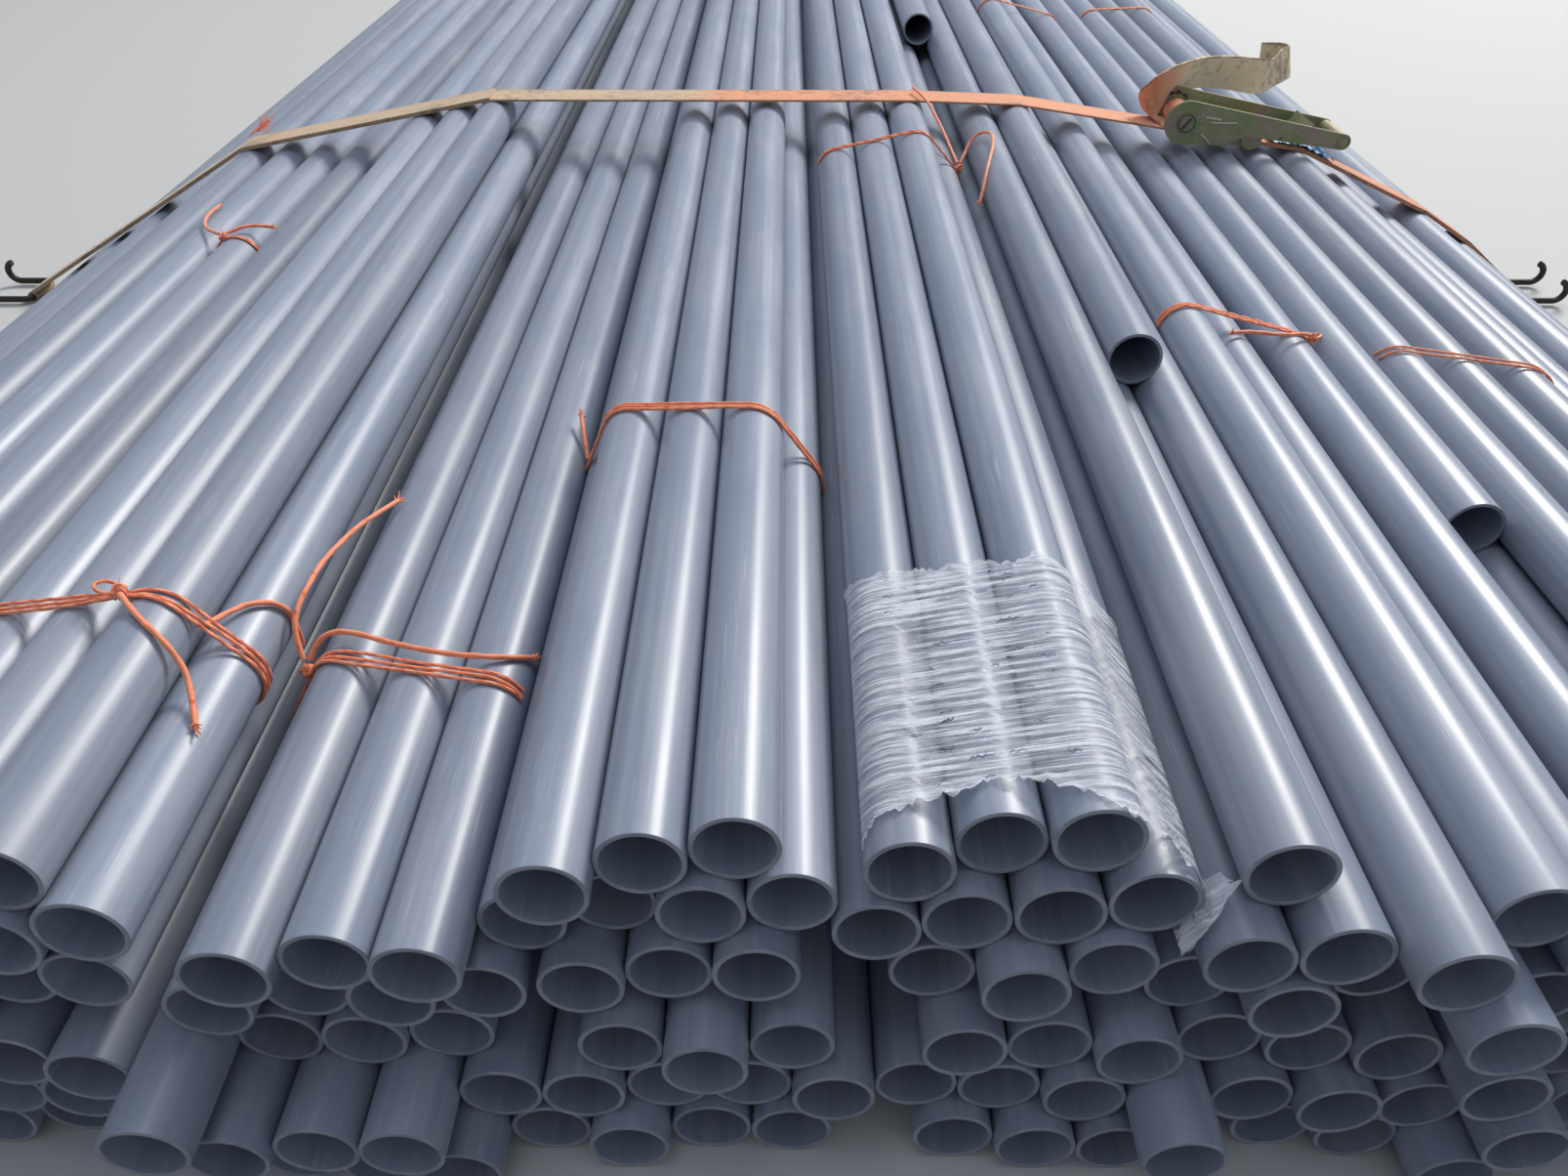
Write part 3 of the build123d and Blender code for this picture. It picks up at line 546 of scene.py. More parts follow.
def pipePlastic():
    material, tree, shader = startMaterial("pipePlastic")
    tone = tree.nodes.new("ShaderNodeAttribute")
    tone.attribute_name = "tone"
    split = tree.nodes.new("ShaderNodeSeparateXYZ")
    tree.links.new(tree.nodes.new("ShaderNodeUVMap").outputs[0], split.inputs[0])
    place = tree.nodes.new("ShaderNodeCombineXYZ")
    tree.links.new(split.outputs[0], place.inputs[0])
    tree.links.new(split.outputs[1], place.inputs[1])
    tree.links.new(tone.outputs["Fac"], place.inputs[2])
    spot = place.outputs[0]
    streak = noise(tree, stretched(tree, spot, (1.0, 0.012, 30.0)), 150.0, 3.0)
    dust = noise(tree, stretched(tree, spot, (1.0, 0.22, 50.0)), 26.0, 4.0, 0.6)
    hair = noise(tree, stretched(tree, spot, (1.0, 0.020, 70.0)), 900.0, 2.0)
    fleck = noise(tree, stretched(tree, spot, (1.0, 0.30, 90.0)), 700.0, 1.0)
    patch = noise(tree, stretched(tree, spot, (1.0, 0.35, 20.0)), 18.0, 3.0)
    dusty = between(tree, sums(tree, "ADD", dust, streak), 0.85, 1.30)
    colour = blended(tree, dusty, plasticLook["colour"], plasticLook["dusty"])
    scuff = sums(tree, "MULTIPLY", between(tree, hair, 0.60, 0.72), between(tree, patch, 0.50, 0.68))
    chips = sums(tree, "MULTIPLY", between(tree, fleck, 0.72, 0.78), 0.6)
    marks = sums(tree, "MAXIMUM", scuff, chips)
    colour = blended(tree, sums(tree, "MULTIPLY", marks, 0.55), colour, plasticLook["scuffed"])
    spread = plasticLook["toneSpread"]
    level = between(tree, tone.outputs["Fac"], 0.0, 1.0, 1.0 - spread, 1.0 + spread)
    scaled = tree.nodes.new("ShaderNodeVectorMath")
    scaled.operation = "SCALE"
    tree.links.new(colour, scaled.inputs[0])
    tree.links.new(level, scaled.inputs["Scale"])
    tree.links.new(scaled.outputs[0], shader.inputs["Base Color"])
    used = sums(tree, "ADD", marks, dusty)
    worn = between(tree, used, 0.0, 1.3, plasticLook["rough"], plasticLook["worn"])
    tree.links.new(worn, shader.inputs["Roughness"])
    shader.inputs["Specular IOR Level"].default_value = 0.55
    ripple = noise(tree, stretched(tree, spot, (1.0, 0.05, 11.0)), 60.0, 2.0)
    relief = sums(tree, "ADD", ripple, sums(tree, "MULTIPLY", marks, -0.08))
    raised(tree, shader, relief, 0.0006, 0.5)
    return material


cutLook = {"colour": rgb(0.165, 0.188, 0.235), "pale": rgb(0.30, 0.32, 0.36), "rough": 0.52}


def pipeCutEnd():
    material, tree, shader = startMaterial("pipeCutEnd")
    place = objectPlace(tree)
    saw = noise(tree, stretched(tree, place, (1.0, 1.0, 3.0)), 900.0, 3.0, 0.7)
    soft = noise(tree, place, 60.0, 2.0)
    share = between(tree, sums(tree, "ADD", saw, soft), 0.75, 1.35)
    tree.links.new(blended(tree, share, cutLook["colour"], cutLook["pale"]), shader.inputs["Base Color"])
    shader.inputs["Roughness"].default_value = cutLook["rough"]
    raised(tree, shader, saw, 0.0004, 0.6)
    return material


# pipes: smooth tubes with a broken edge at both cut ends

pipeSet = {"segments": 44, "wall": 0.003, "edge": 0.0005, "sharpDeg": 30.0, "seed": 7}
pipeNodes = [n for n in sorted(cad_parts) if n.startswith(("lower_", "upper_", "side_", "top_"))]


def pipePiece(nodeName, plastic, cutEnd, rng):
    n = pipeSet["segments"]
    verts, faces, slots, uvs, tones = [], [], [], [], []
    for x, z, front, back, outer in pipePlaces(nodeName):
        edge = pipeSet["edge"]
        inner = outer - pipeSet["wall"]
        profile = [(outer, back - edge), (outer, front + edge), (outer - edge, front), (inner + edge, front),
                   (inner, front + edge), (inner, back - edge), (inner + edge, back), (outer - edge, back)]
        start = len(verts)
        phase = rng.random() * 2 * math.pi
        tone = rng.random()
        for radius, y in profile:
            for s in range(n):
                turn = phase + 2 * math.pi * s / n
                verts.append((x + radius * math.cos(turn), y, z + radius * math.sin(turn)))
                tones.append(tone)
        rings = len(profile)
        for i in range(rings):
            k = (i + 1) % rings
            for s in range(n):
                t = (s + 1) % n
                faces.append((start + i * n + s, start + i * n + t, start + k * n + t, start + k * n + s))
                slots.append(0 if i in (0, 4) else 1)
                u, w = 2 * math.pi * outer * s / n, 2 * math.pi * outer * (s + 1) / n
                lift = 1.0 if i > 3 else 0.0  # the bore has its own stretch of the pattern
                uvs += [(u + lift, profile[i][1]), (w + lift, profile[i][1]),
                        (w + lift, profile[k][1]), (u + lift, profile[k][1])]
    shape = {"verts": verts, "faces": faces, "uvs": uvs, "faceMaterials": slots, "fields": {"tone": tones}}
    meshPiece(nodeName + "_pipes", shape, (plastic, cutEnd), "stack", [nodeName],
              pipeSet["sharpDeg"])


rng = random.Random(pipeSet["seed"])
plastic, cutEnd = pipePlastic(), pipeCutEnd()
for nodeName in pipeNodes:
    pipePiece(nodeName, plastic, cutEnd, rng)
print("pipes made:", len(pipeNodes), "pieces")


# stretch film: a wrinkled sheet with torn edges, taut over the tops of the pipes

filmLook = {"colour": rgb(0.88, 0.92, 1.0), "rough": 0.12, "clear": 0.20, "milky": 0.94}
# torn and nicked: how far both edges stray, and over how many steps. high is the folds' height over a
# pipe and over a gap, and a grain is the noise's scales across and along the pipes.
filmSet = {"seed": 21, "pipe": 0.025, "lift": 0.0009, "step": 0.0024, "rows": 350, "middleY": -2.35,
           "front": (-2.450, -2.440, -2.430, -2.438, -2.458, -2.456, -2.472, -2.484),
           "back": (-2.238, -2.240, -2.236, -2.243, -2.246, -2.250, -2.256, -2.259),
           "torn": (0.0050, 7), "nicked": (0.0025, 1), "rim": 0.009, "flat": (0.262, 0.208),
           "waves": 7, "perMetre": (260, 640), "lean": (-0.16, 0.04), "waveShare": (0.5, 1.0),
           "skew": 1.5, "around": 0.26, "high": (0.0008, 0.0011), "rimHigh": 0.0022,
           "rimGrain": (130, 240), "slitGrain": (60, 320), "slitAbove": 0.52}


def stretchFilm():
    material, tree, shader = startMaterial("stretchFilm")
    place = tree.nodes.new("ShaderNodeUVMap").outputs[0]
    fine = noise(tree, stretched(tree, place, (0.035, 1.0, 1.0)), 900.0, 4.0, 0.7)
    broad = noise(tree, stretched(tree, place, (0.05, 1.0, 1.0), (0.0, 0.3, 0.0)), 240.0, 3.0, 0.6)
    crease = noise(tree, stretched(tree, place, (0.6, 1.0, 1.0)), 90.0, 3.0, 0.6)
    folds = sums(tree, "ADD", sums(tree, "MULTIPLY", fine, broad), sums(tree, "MULTIPLY", crease, 0.12))
    streaks = between(tree, folds, 0.265, 0.395)
    torn = tree.nodes.new("ShaderNodeAttribute")
    torn.attribute_name = "rim"
    crumpled = sums(tree, "MULTIPLY", torn.outputs["Fac"], between(tree, crease, 0.35, 0.65, 0.2, 0.9))
    milk = sums(tree, "MAXIMUM", streaks, crumpled)
    alpha = sums(tree, "MULTIPLY", milk, filmLook["milky"] - filmLook["clear"])
    tree.links.new(sums(tree, "ADD", alpha, filmLook["clear"], True), shader.inputs["Alpha"])
    shader.inputs["Base Color"].default_value = filmLook["colour"]
    shader.inputs["Roughness"].default_value = filmLook["rough"]
    shader.inputs["Specular IOR Level"].default_value = 0.7
    raised(tree, shader, sums(tree, "ADD", fine, broad), 0.0018, 0.9)
    return material


def along(values, share):
    place = share * (len(values) - 1)
    k = min(int(place), len(values) - 2)
    return values[k] + (values[k + 1] - values[k]) * (place - k)


# torn tail that trails off the film's front right corner
flapSet = {"tip": (0.2560, -2.4680, 0.2415), "wide": 0.021, "steps": 12, "across": 6, "rim": 0.7,
           "puffs": ((130, 0.004), (420, 0.002)), "arch": 0.002, "holeGrain": 300, "holeAbove": 0.42}


def addFlap(verts, faces, uvs, rims, start):
    # crumpled and holed, widest near its middle
    end, first, ring = Vector(flapSet["tip"]), len(verts), flapSet["across"] + 1
    for i in range(flapSet["steps"] + 1):
        share = i / flapSet["steps"]
        wide = flapSet["wide"] * (0.5 + 0.9 * math.sin(math.pi * share) - 0.35 * share)
        for k in range(ring):
            spot = start.lerp(end, share) + Vector((0.0, wide * (k / flapSet["across"] - 0.15), 0.0))
            puff = sum(mathNoise.noise(spot * grain) * size for grain, size in flapSet["puffs"])
            lift = abs(puff) + flapSet["arch"] * math.sin(math.pi * share)
            verts.append(tuple(spot + Vector((puff, puff * 0.5, lift))))
            rims.append(flapSet["rim"])
    for i in range(flapSet["steps"]):
        for k in range(flapSet["across"]):
            a = first + i * ring + k
            if mathNoise.noise(Vector(verts[a]) * flapSet["holeGrain"]) < flapSet["holeAbove"]:
                faces.append((a, a + 1, a + ring + 1, a + ring))
                uvs += [(verts[n][0], verts[n][1]) for n in faces[-1]]


def filmPiece():
    rng = random.Random(filmSet["seed"])
    centres = [(p[0], p[1]) for p in pipePlaces("upper_bundle_5")]
    band = tautLine(centres, filmSet["pipe"] + filmSet["lift"], filmSet["step"])
    line = onSolid("stretch_film", band, lambda x: filmSet["middleY"])
    columns, rows = len(line), filmSet["rows"]
    tear = [smoothWalk(rng, columns, *filmSet["torn"]) for k in range(2)]
    nick = [smoothWalk(rng, columns, *filmSet["nicked"]) for k in range(2)]
    waves = [(rng.uniform(*filmSet["perMetre"]), rng.uniform(*filmSet["lean"]), rng.uniform(0, 6.28),
              rng.uniform(*filmSet["waveShare"])) for k in range(filmSet["waves"])]
    overPipe, overGap = filmSet["high"]
    verts, free, rims = [], [], []
    for i, (x, z, nx, nz, gap) in enumerate(line):
        share = i / (columns - 1)
        front = along(filmSet["front"], share) + tear[0][i] + nick[0][i]
        back = along(filmSet["back"], share) + tear[1][i] + nick[1][i]
        for k in range(rows):
            y = front + (back - front) * k / (rows - 1)
            rise = 0.0
            for many, lean, start, size in waves:
                turn = many * math.pi * (y + lean * share * filmSet["around"]) + start
                rise += size * abs(math.sin(turn + filmSet["skew"] * share))
            rim = max(0.0, 1 - min(y - front, back - y) / filmSet["rim"])
            across, lengthwise = filmSet["rimGrain"]
            crumple = mathNoise.noise(Vector((x * across, y * lengthwise, 7.0))) + 0.6
            rise = (1 - rise / len(waves)) * (overGap if gap else overPipe)
            rise += filmSet["rimHigh"] * rim * max(crumple, 0.0)
            rims.append(rim)
            verts.append((x + nx * rise, y, z + nz * rise))
            free.append(gap)
    faces, uvs = [], []
    for i in range(columns - 1):
        for k in range(rows - 1):
            a = i * rows + k
            spots = (a, a + 1, a + rows + 1, a + rows)
            middle = sum((Vector(verts[n]) for n in spots), Vector()) / 4
            across, lengthwise = filmSet["slitGrain"]
            slit = mathNoise.noise(Vector((middle.x * across, middle.y * lengthwise, 3.0)))
            if free[a] and slit > filmSet["slitAbove"]:
                continue
            faces.append(spots)
            uvs += [(n // rows * filmSet["step"], verts[n][1]) for n in spots]
    addFlap(verts, faces, uvs, rims, Vector(verts[(columns - 1) * rows]))
    shape = {"verts": verts, "faces": faces, "uvs": uvs, "fields": {"rim": rims}}
    piece = meshPiece("film_sheet", shape, stretchFilm(), "stack", ["stretch_film"], 180.0)


filmPiece()
print("film made")


# webbing of the strap: ribbed weave, dirt along the edges, faded stretches

weaveLook = {"tan": rgb(0.52, 0.36, 0.21), "fresh": rgb(0.72, 0.25, 0.10), "dirt": rgb(0.16, 0.10, 0.065),
             "thread": rgb(0.70, 0.56, 0.42), "rough": 0.72, "rib": 0.0016}
strapSet = {"middleY": -1.184, "turn": -0.096, "blend": 0.06, "edge": 0.0007}


def webbing(name, first, second, turn, blend, onEdge=False):
    # first colour left of turn, second right of it
    material, tree, shader = startMaterial(name)
    place = objectPlace(tree)
    split = tree.nodes.new("ShaderNodeSeparateXYZ")
    tree.links.new(place, split.inputs[0])
    x, y = split.outputs[0], split.outputs[1]
    cloud = noise(tree, place, 14.0, 4.0, 0.6)
    spots = noise(tree, place, 90.0, 3.0, 0.6)
    thread = noise(tree, stretched(tree, place, (0.06, 1.0, 1.0)), 1500.0, 2.0)
    border = sums(tree, "ADD", x, sums(tree, "MULTIPLY", cloud, blend))
    share = between(tree, border, turn, turn + blend)
    share = sums(tree, "ADD", share, 0.0, True)
    colour = blended(tree, share, first, second)
    colour = blended(tree, between(tree, thread, 0.45, 0.75, 0.0, 0.45), colour, weaveLook["thread"])
    side = sums(tree, "ABSOLUTE", sums(tree, "SUBTRACT", y, strapSet["middleY"]))
    rim = between(tree, side, 0.0185, 0.0245)
    soiled = between(tree, sums(tree, "ADD", cloud, spots), 1.02, 1.35)
    if onEdge:
        across = tree.nodes.new("ShaderNodeSeparateXYZ")
        tree.links.new(tree.nodes.new("ShaderNodeUVMap").outputs[0], across.inputs[0])
        ragged = between(tree, spots, 0.40, 0.55)
        rim = sums(tree, "MULTIPLY", between(tree, across.outputs[1], 0.93, 0.985), ragged)
    soiled = sums(tree, "ADD", soiled, sums(tree, "MULTIPLY", rim, 0.9 if onEdge else 0.5), True)
    colour = blended(tree, sums(tree, "MULTIPLY", soiled, 0.75, True), colour, weaveLook["dirt"])
    tree.links.new(colour, shader.inputs["Base Color"])
    shader.inputs["Roughness"].default_value = weaveLook["rough"]
    shader.inputs["Sheen Weight"].default_value = 0.25
    ribs = tree.nodes.new("ShaderNodeTexWave")
    ribs.bands_direction = "X"
    ribs.inputs["Scale"].default_value = 1 / weaveLook["rib"] / 6.0
    tree.links.new(place, ribs.inputs["Vector"])
    weave = sums(tree, "ADD", sums(tree, "MULTIPLY", ribs.outputs["Fac"], 0.6), thread)
    raised(tree, shader, weave, 0.0005, 0.8)
    return material


def dress(nodeName, material, edge=0.0):
    # a CAD node keeps its shape: better material, softly broken edges
    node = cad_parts[nodeName]
    for slot in node.material_slots:
        slot.link = "OBJECT"
        slot.material = material
    if edge:
        bevel = node.modifiers.new("brokenEdges", "BEVEL")
        bevel.width = edge
        bevel.segments = 2
        bevel.limit_method = "ANGLE"
        bevel.angle_limit = math.radians(40)
        bevel.harden_normals = True


tan, fresh = weaveLook["tan"], weaveLook["fresh"]
leftCloth = webbing("webbingLeft", tan, fresh, strapSet["turn"], strapSet["blend"])
dress("strap_webbing_left", leftCloth, strapSet["edge"])
dress("strap_webbing_right", webbing("webbingRight", fresh, fresh, 0.0, 0.1), strapSet["edge"])

# the sewn place where the hook end is doubled: stitches and orange fluff
seamSet = {"at": (-0.722, -1.184, 0.2455), "slopeDeg": 24.0, "seed": 31, "rows": 3, "rowGap": 0.007,
           "points": 26, "wide": 0.042, "zigzag": 0.0016, "thread": 0.0005, "out": 0.0004,
           "fluffs": 30, "fluffWide": 0.048, "fluffAt": (0.006, 0.012), "fluffOut": 0.0008,
           "fibres": 3, "long": 0.012, "spread": 0.7, "lean": 0.4}


def seamPiece():
    rng = random.Random(seamSet["seed"])
    shape = newShape()
    lean = math.radians(seamSet["slopeDeg"])
    ahead = Vector((math.cos(lean), 0, math.sin(lean)))
    up = Vector((-math.sin(lean), 0, math.cos(lean)))
    base = Vector(seamSet["at"])
    gap, wide, points = seamSet["rowGap"], seamSet["wide"], seamSet["points"]
    for row in range(seamSet["rows"]):
        line = []
        for k in range(points):
            across = Vector((0, -wide / 2 + wide * k / (points - 1), 0))
            sway = seamSet["zigzag"] * (1 if k % 2 else -1)
            line.append(base + ahead * (row * gap - gap + sway) + across + up * seamSet["out"])
        addStrand(shape, line, seamSet["thread"], rng, sides=5, groove=0.0)
    reach = seamSet["fluffWide"] / 2
    for k in range(seamSet["fluffs"]):
        forward = rng.uniform(*seamSet["fluffAt"])
        across = Vector((0, rng.uniform(-reach, reach), 0))
        spot = base + ahead * forward + across + up * seamSet["fluffOut"]
        addFibres(shape, spot, ahead + up * seamSet["lean"], seamSet["fibres"], seamSet["long"],
                  seamSet["spread"], rng)
    meshPiece("strap_seam", shape, twine, "stack")


# blue label, bare and creased, on the strap beside the ratchet: its place and size against the plain
# solid's, how far its edge strays and over how many steps, and its folds. A fold has its noise's scales
# along and across the strap, the noise's layer, and its height.
labelLook = {"colour": rgb(0.07, 0.24, 0.54), "worn": rgb(0.48, 0.58, 0.70), "rough": 0.35}
labelSet = {"seed": 61, "long": 0.098, "shift": 0.016, "frontOver": 0.0015, "wider": 0.001,
            "grid": (76, 40), "edge": (0.0035, 3), "folds": ((75, 28, 5.0, 0.010), (210, 150, 2.0, 0.003)),
            "foldMost": 0.0055, "out": 0.0012, "sharpDeg": 60.0}


def labelBlue():
    material, tree, shader = startMaterial("labelBlue")
    place = objectPlace(tree)
    folds = noise(tree, stretched(tree, place, (1.0, 0.35, 1.0)), 110.0, 3.0, 0.6)
    spots = noise(tree, place, 260.0, 2.0)
    worn = sums(tree, "MULTIPLY", between(tree, folds, 0.50, 0.66), between(tree, spots, 0.35, 0.60))
    share = sums(tree, "MULTIPLY", worn, 0.8, True)
    colour = blended(tree, share, labelLook["colour"], labelLook["worn"])
    tree.links.new(colour, shader.inputs["Base Color"])
    shader.inputs["Roughness"].default_value = labelLook["rough"]
    raised(tree, shader, folds, 0.004, 0.8)
    return material


def labelPiece():
    # crumpled and loose, it follows the webbing under it
    rng = random.Random(labelSet["seed"])
    low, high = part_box("strap_label")
    solid = solidTree("strap_webbing_right")
    many, across = labelSet["grid"]
    edge = smoothWalk(rng, many, *labelSet["edge"])
    down = Vector((0, 0, -1))
    verts, faces, uvs = [], [], []
    for i in range(many):
        for k in range(across):
            x = low[0] + labelSet["shift"] + labelSet["long"] * i / (many - 1)
            wide = high[1] - low[1] + labelSet["wider"]
            y = low[1] - labelSet["frontOver"] + edge[i] + wide * k / (across - 1)
            spot = solid.ray_cast(Vector((x, y, 1.0)), down)[0]
            if spot is None:
                y = min(max(y, low[1]), high[1])
                spot = solid.ray_cast(Vector((x, y, 1.0)), down)[0]
            fold = sum(abs(mathNoise.noise(Vector((x * grainX, y * grainY, layer)))) * size
                       for grainX, grainY, layer, size in labelSet["folds"])
            verts.append((spot.x, y, spot.z + labelSet["out"] + min(fold, labelSet["foldMost"])))
    for i in range(many - 1):
        for k in range(across - 1):
            a = i * across + k
            faces.append((a, a + across, a + across + 1, a + 1))
            uvs += [(verts[n][0], verts[n][1]) for n in faces[-1]]
    shape = {"verts": verts, "faces": faces, "uvs": uvs}
    meshPiece("label_crumpled", shape, labelBlue(), "stack", ["strap_label"], labelSet["sharpDeg"])


seamPiece()
labelPiece()
print("strap dressed")


# ratchet: yellow-green zinc plate, dusty and worn

zincLook = {"olive": rgb(0.265, 0.255, 0.130), "cap": rgb(0.155, 0.165, 0.095),
            "green": rgb(0.200, 0.245, 0.100), "pink": rgb(0.30, 0.225, 0.160),
            "dust": rgb(0.40, 0.38, 0.30), "rough": 0.45, "dustRough": 0.75, "metal": 0.25}


def zincPlate(name, olive, dusty):
    material, tree, shader = startMaterial(name)
    place = objectPlace(tree)
    tint = noise(tree, stretched(tree, place, (1.0, 1.0, 1.0), (0.3, 0.0, 0.1)), 26.0, 2.0)
    other = noise(tree, stretched(tree, place, (1.0, 1.0, 1.0), (4.0, 2.0, 0.0)), 34.0, 2.0)
    dust = noise(tree, place, 120.0, 5.0, 0.7)
    colour = blended(tree, between(tree, tint, 0.50, 0.64), olive, zincLook["green"])
    colour = blended(tree, between(tree, other, 0.52, 0.66), colour, zincLook["pink"])
    grime = between(tree, dust, 0.50, 0.75, 0.0, dusty)
    tree.links.new(blended(tree, grime, colour, zincLook["dust"]), shader.inputs["Base Color"])
    rough = between(tree, grime, 0.0, 0.6, zincLook["rough"], zincLook["dustRough"])
    tree.links.new(rough, shader.inputs["Roughness"])
    shader.inputs["Metallic"].default_value = zincLook["metal"]
    raised(tree, shader, dust, 0.0003, 0.5)
    return material


def plainMetal(name, colour, rough, metal, speck=0.3):
    material, tree, shader = startMaterial(name)
    dust = noise(tree, objectPlace(tree), 180.0, 4.0, 0.6)
    worn = tuple(min(1.0, c * 1.9 + 0.03) for c in colour[:3]) + (1.0,)
    share = sums(tree, "MULTIPLY", between(tree, dust, 0.50, 0.75), speck, True)
    tree.links.new(blended(tree, share, colour, worn), shader.inputs["Base Color"])
    shader.inputs["Roughness"].default_value = rough
    shader.inputs["Metallic"].default_value = metal
    raised(tree, shader, dust, 0.0003, 0.4)
    return material


# widths of the metal parts' broken edges
metalEdge = {"plate": 0.0007, "soft": 0.0006, "fine": 0.0004}
zinc = zincPlate("zincPlate", zincLook["olive"], 0.65)
# steel painted near black: painted shade for the wheels and spool pins between the plates, and for the holes
# and slots drawn on the ratchet
shadeDarkSteel = plainMetal("shadeDarkSteel", rgb(0.055, 0.060, 0.045), 0.5, 0.3)
creamSteel = plainMetal("creamSteel", rgb(0.52, 0.49, 0.36), 0.45, 0.35)
hookSteel = plainMetal("hookSteel", rgb(0.045, 0.036, 0.030), 0.55, 0.7)
for nodeName in ("ratchet_frame", "ratchet_handle", "ratchet_end_bolt", "ratchet_frame_pawl"):
    dress(nodeName, zinc, metalEdge["plate"])
# wheels and spool pins between the plates take the near black: painted shade
for nodeName in ("ratchet_wheels", "ratchet_spool_pins"):
    dress(nodeName, shadeDarkSteel, metalEdge["fine"])
capZinc = zincPlate("capZinc", zincLook["cap"], 0.4)
for edge in (metalEdge["fine"], metalEdge["soft"]):  # a cap's edge is broken twice, which rounds it
    dress("ratchet_spool_caps", capZinc, edge)
dress("ratchet_handle_pawl", creamSteel, metalEdge["soft"])
for nodeName in ("strap_hook_left", "strap_hook_right"):
    dress(nodeName, hookSteel)

# small things on the ratchet, in metres from the spool axis: along the handle, up, and out from its
# middle. A ring has its radius and thickness, a button its radius and height.
ratchetSet = {"axis": (0.563039, -1.184, 0.26577), "bolt": (0.098, -0.0079), "seed": 41,
              "plateOut": 0.0378, "capOut": 0.0397, "sunk": 0.0004,
              "ring": (0.073, 0.001), "ringSize": (0.0036, 0.0006),
              "rivet": (0.2220, 0.008), "rivetSize": (0.0062, 0.0012),
              "washerOut": 0.0008, "washerSize": (0.0088, 0.0006),
              "hole": (0.135, 0.0), "holeSize": (0.0021, 0.0001),
              "wires": (((0.030, 0.006), (0.067, 0.011)), ((0.024, -0.010), (0.041, -0.021))),
              "wireThick": 0.0012, "wireOut": 0.0004, "wireBow": 0.0022,
              "capRing": (0.0112, 0.0009), "studs": 8, "studsFrom": 0.0186, "studSize": (0.0030, 0.0009),
              "slotDeg": 62, "slotThick": 0.0017, "slotOut": 0.0001}


def ratchetTurn():
    # how the ratchet slopes with the strap under it, from where the end bolt lies
    low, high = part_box("ratchet_end_bolt")
    dx = (low[0] + high[0]) / 2 - ratchetSet["axis"][0]
    dz = (low[2] + high[2]) / 2 - ratchetSet["axis"][2]
    return math.atan2(dz, dx) - math.atan2(ratchetSet["bolt"][1], ratchetSet["bolt"][0])


ratchetSlope = ratchetTurn()


def onRatchet(u, w, y):
    x, middle, z = ratchetSet["axis"]
    ahead, rise = math.cos(ratchetSlope), math.sin(ratchetSlope)
    return Vector((x + u * ahead - w * rise, middle + y, z + u * rise + w * ahead))


def addRing(shape, u, w, y, size, thick, rng):
    line = [onRatchet(u + size * math.cos(t), w + size * math.sin(t), y)
            for t in (2 * math.pi * k / 24 for k in range(25))]
    addStrand(shape, line, thick, rng, sides=6, groove=0.0)


def addButton(shape, u, w, y, size, high, rng):
    # sunk a little into the plate, with a broken upper edge
    out = -1 if y < 0 else 1
    line = [onRatchet(u, w, y + out * step) for step in (-ratchetSet["sunk"], high * 0.7, high)]
    addStrand(shape, line, [size, size, size * 0.82], rng, sides=20, groove=0.0)


def ratchetMarks():
    rng = random.Random(ratchetSet["seed"])
    marks, holeShade, wires = newShape(), newShape(), newShape()
    for side in (-1, 1):
        out = side * ratchetSet["plateOut"]
        addRing(marks, *ratchetSet["ring"], out, *ratchetSet["ringSize"], rng)
        addButton(marks, *ratchetSet["rivet"], out, *ratchetSet["rivetSize"], rng)
        washer = out + side * ratchetSet["washerOut"]
        addRing(marks, *ratchetSet["rivet"], washer, *ratchetSet["washerSize"], rng)
        # a flat dark disc on the plate where the hole is: painted shade in place of the hole
        addButton(holeShade, *ratchetSet["hole"], out, *ratchetSet["holeSize"], rng)
        for a, b in ratchetSet["wires"]:
            bowed = []
            for t in (0.0, 0.15, 0.3, 0.45, 0.6, 0.75, 0.9, 1.0):
                bow = ratchetSet["wireOut"] + ratchetSet["wireBow"] * math.sin(math.pi * t)
                bowed.append(onRatchet(a[0] + (b[0] - a[0]) * t, a[1] + (b[1] - a[1]) * t, out + side * bow))
            addStrand(wires, bowed, ratchetSet["wireThick"], rng, sides=7, groove=0.0)
    meshPiece("handle_marks", marks, zinc, "handle")
    meshPiece("handle_holes_painted_shade", holeShade, shadeDarkSteel, "handle")
    meshPiece("handle_springs", wires, creamSteel, "handle")
    spool, slots = newShape(), newShape()
    for side in (-1, 1):
        out = side * ratchetSet["capOut"]
        # a dark ring round each round cap and a dark slot across it: painted shade along the cap's edge and
        # in its slot
        addRing(slots, 0.0, 0.0, out, *ratchetSet["capRing"], rng)
        for k in range(ratchetSet["studs"]):
            turn = 2 * math.pi * (k + 0.3) / ratchetSet["studs"]
            reach = ratchetSet["studsFrom"]
            addButton(spool, reach * math.cos(turn), reach * math.sin(turn),
                      side * ratchetSet["plateOut"], *ratchetSet["studSize"], rng)
        lean = math.radians(ratchetSet["slotDeg"])
        line = [onRatchet(t * math.cos(lean), t * math.sin(lean), out + side * ratchetSet["slotOut"])
                for t in (-0.0085, -0.004, 0.0, 0.004, 0.0085)]
        addStrand(slots, line, ratchetSet["slotThick"], rng, sides=6, groove=0.0)
    meshPiece("spool_marks", spool, zinc, "stack")
    meshPiece("spool_slots_painted_shade", slots, shadeDarkSteel, "stack")


ratchetMarks()
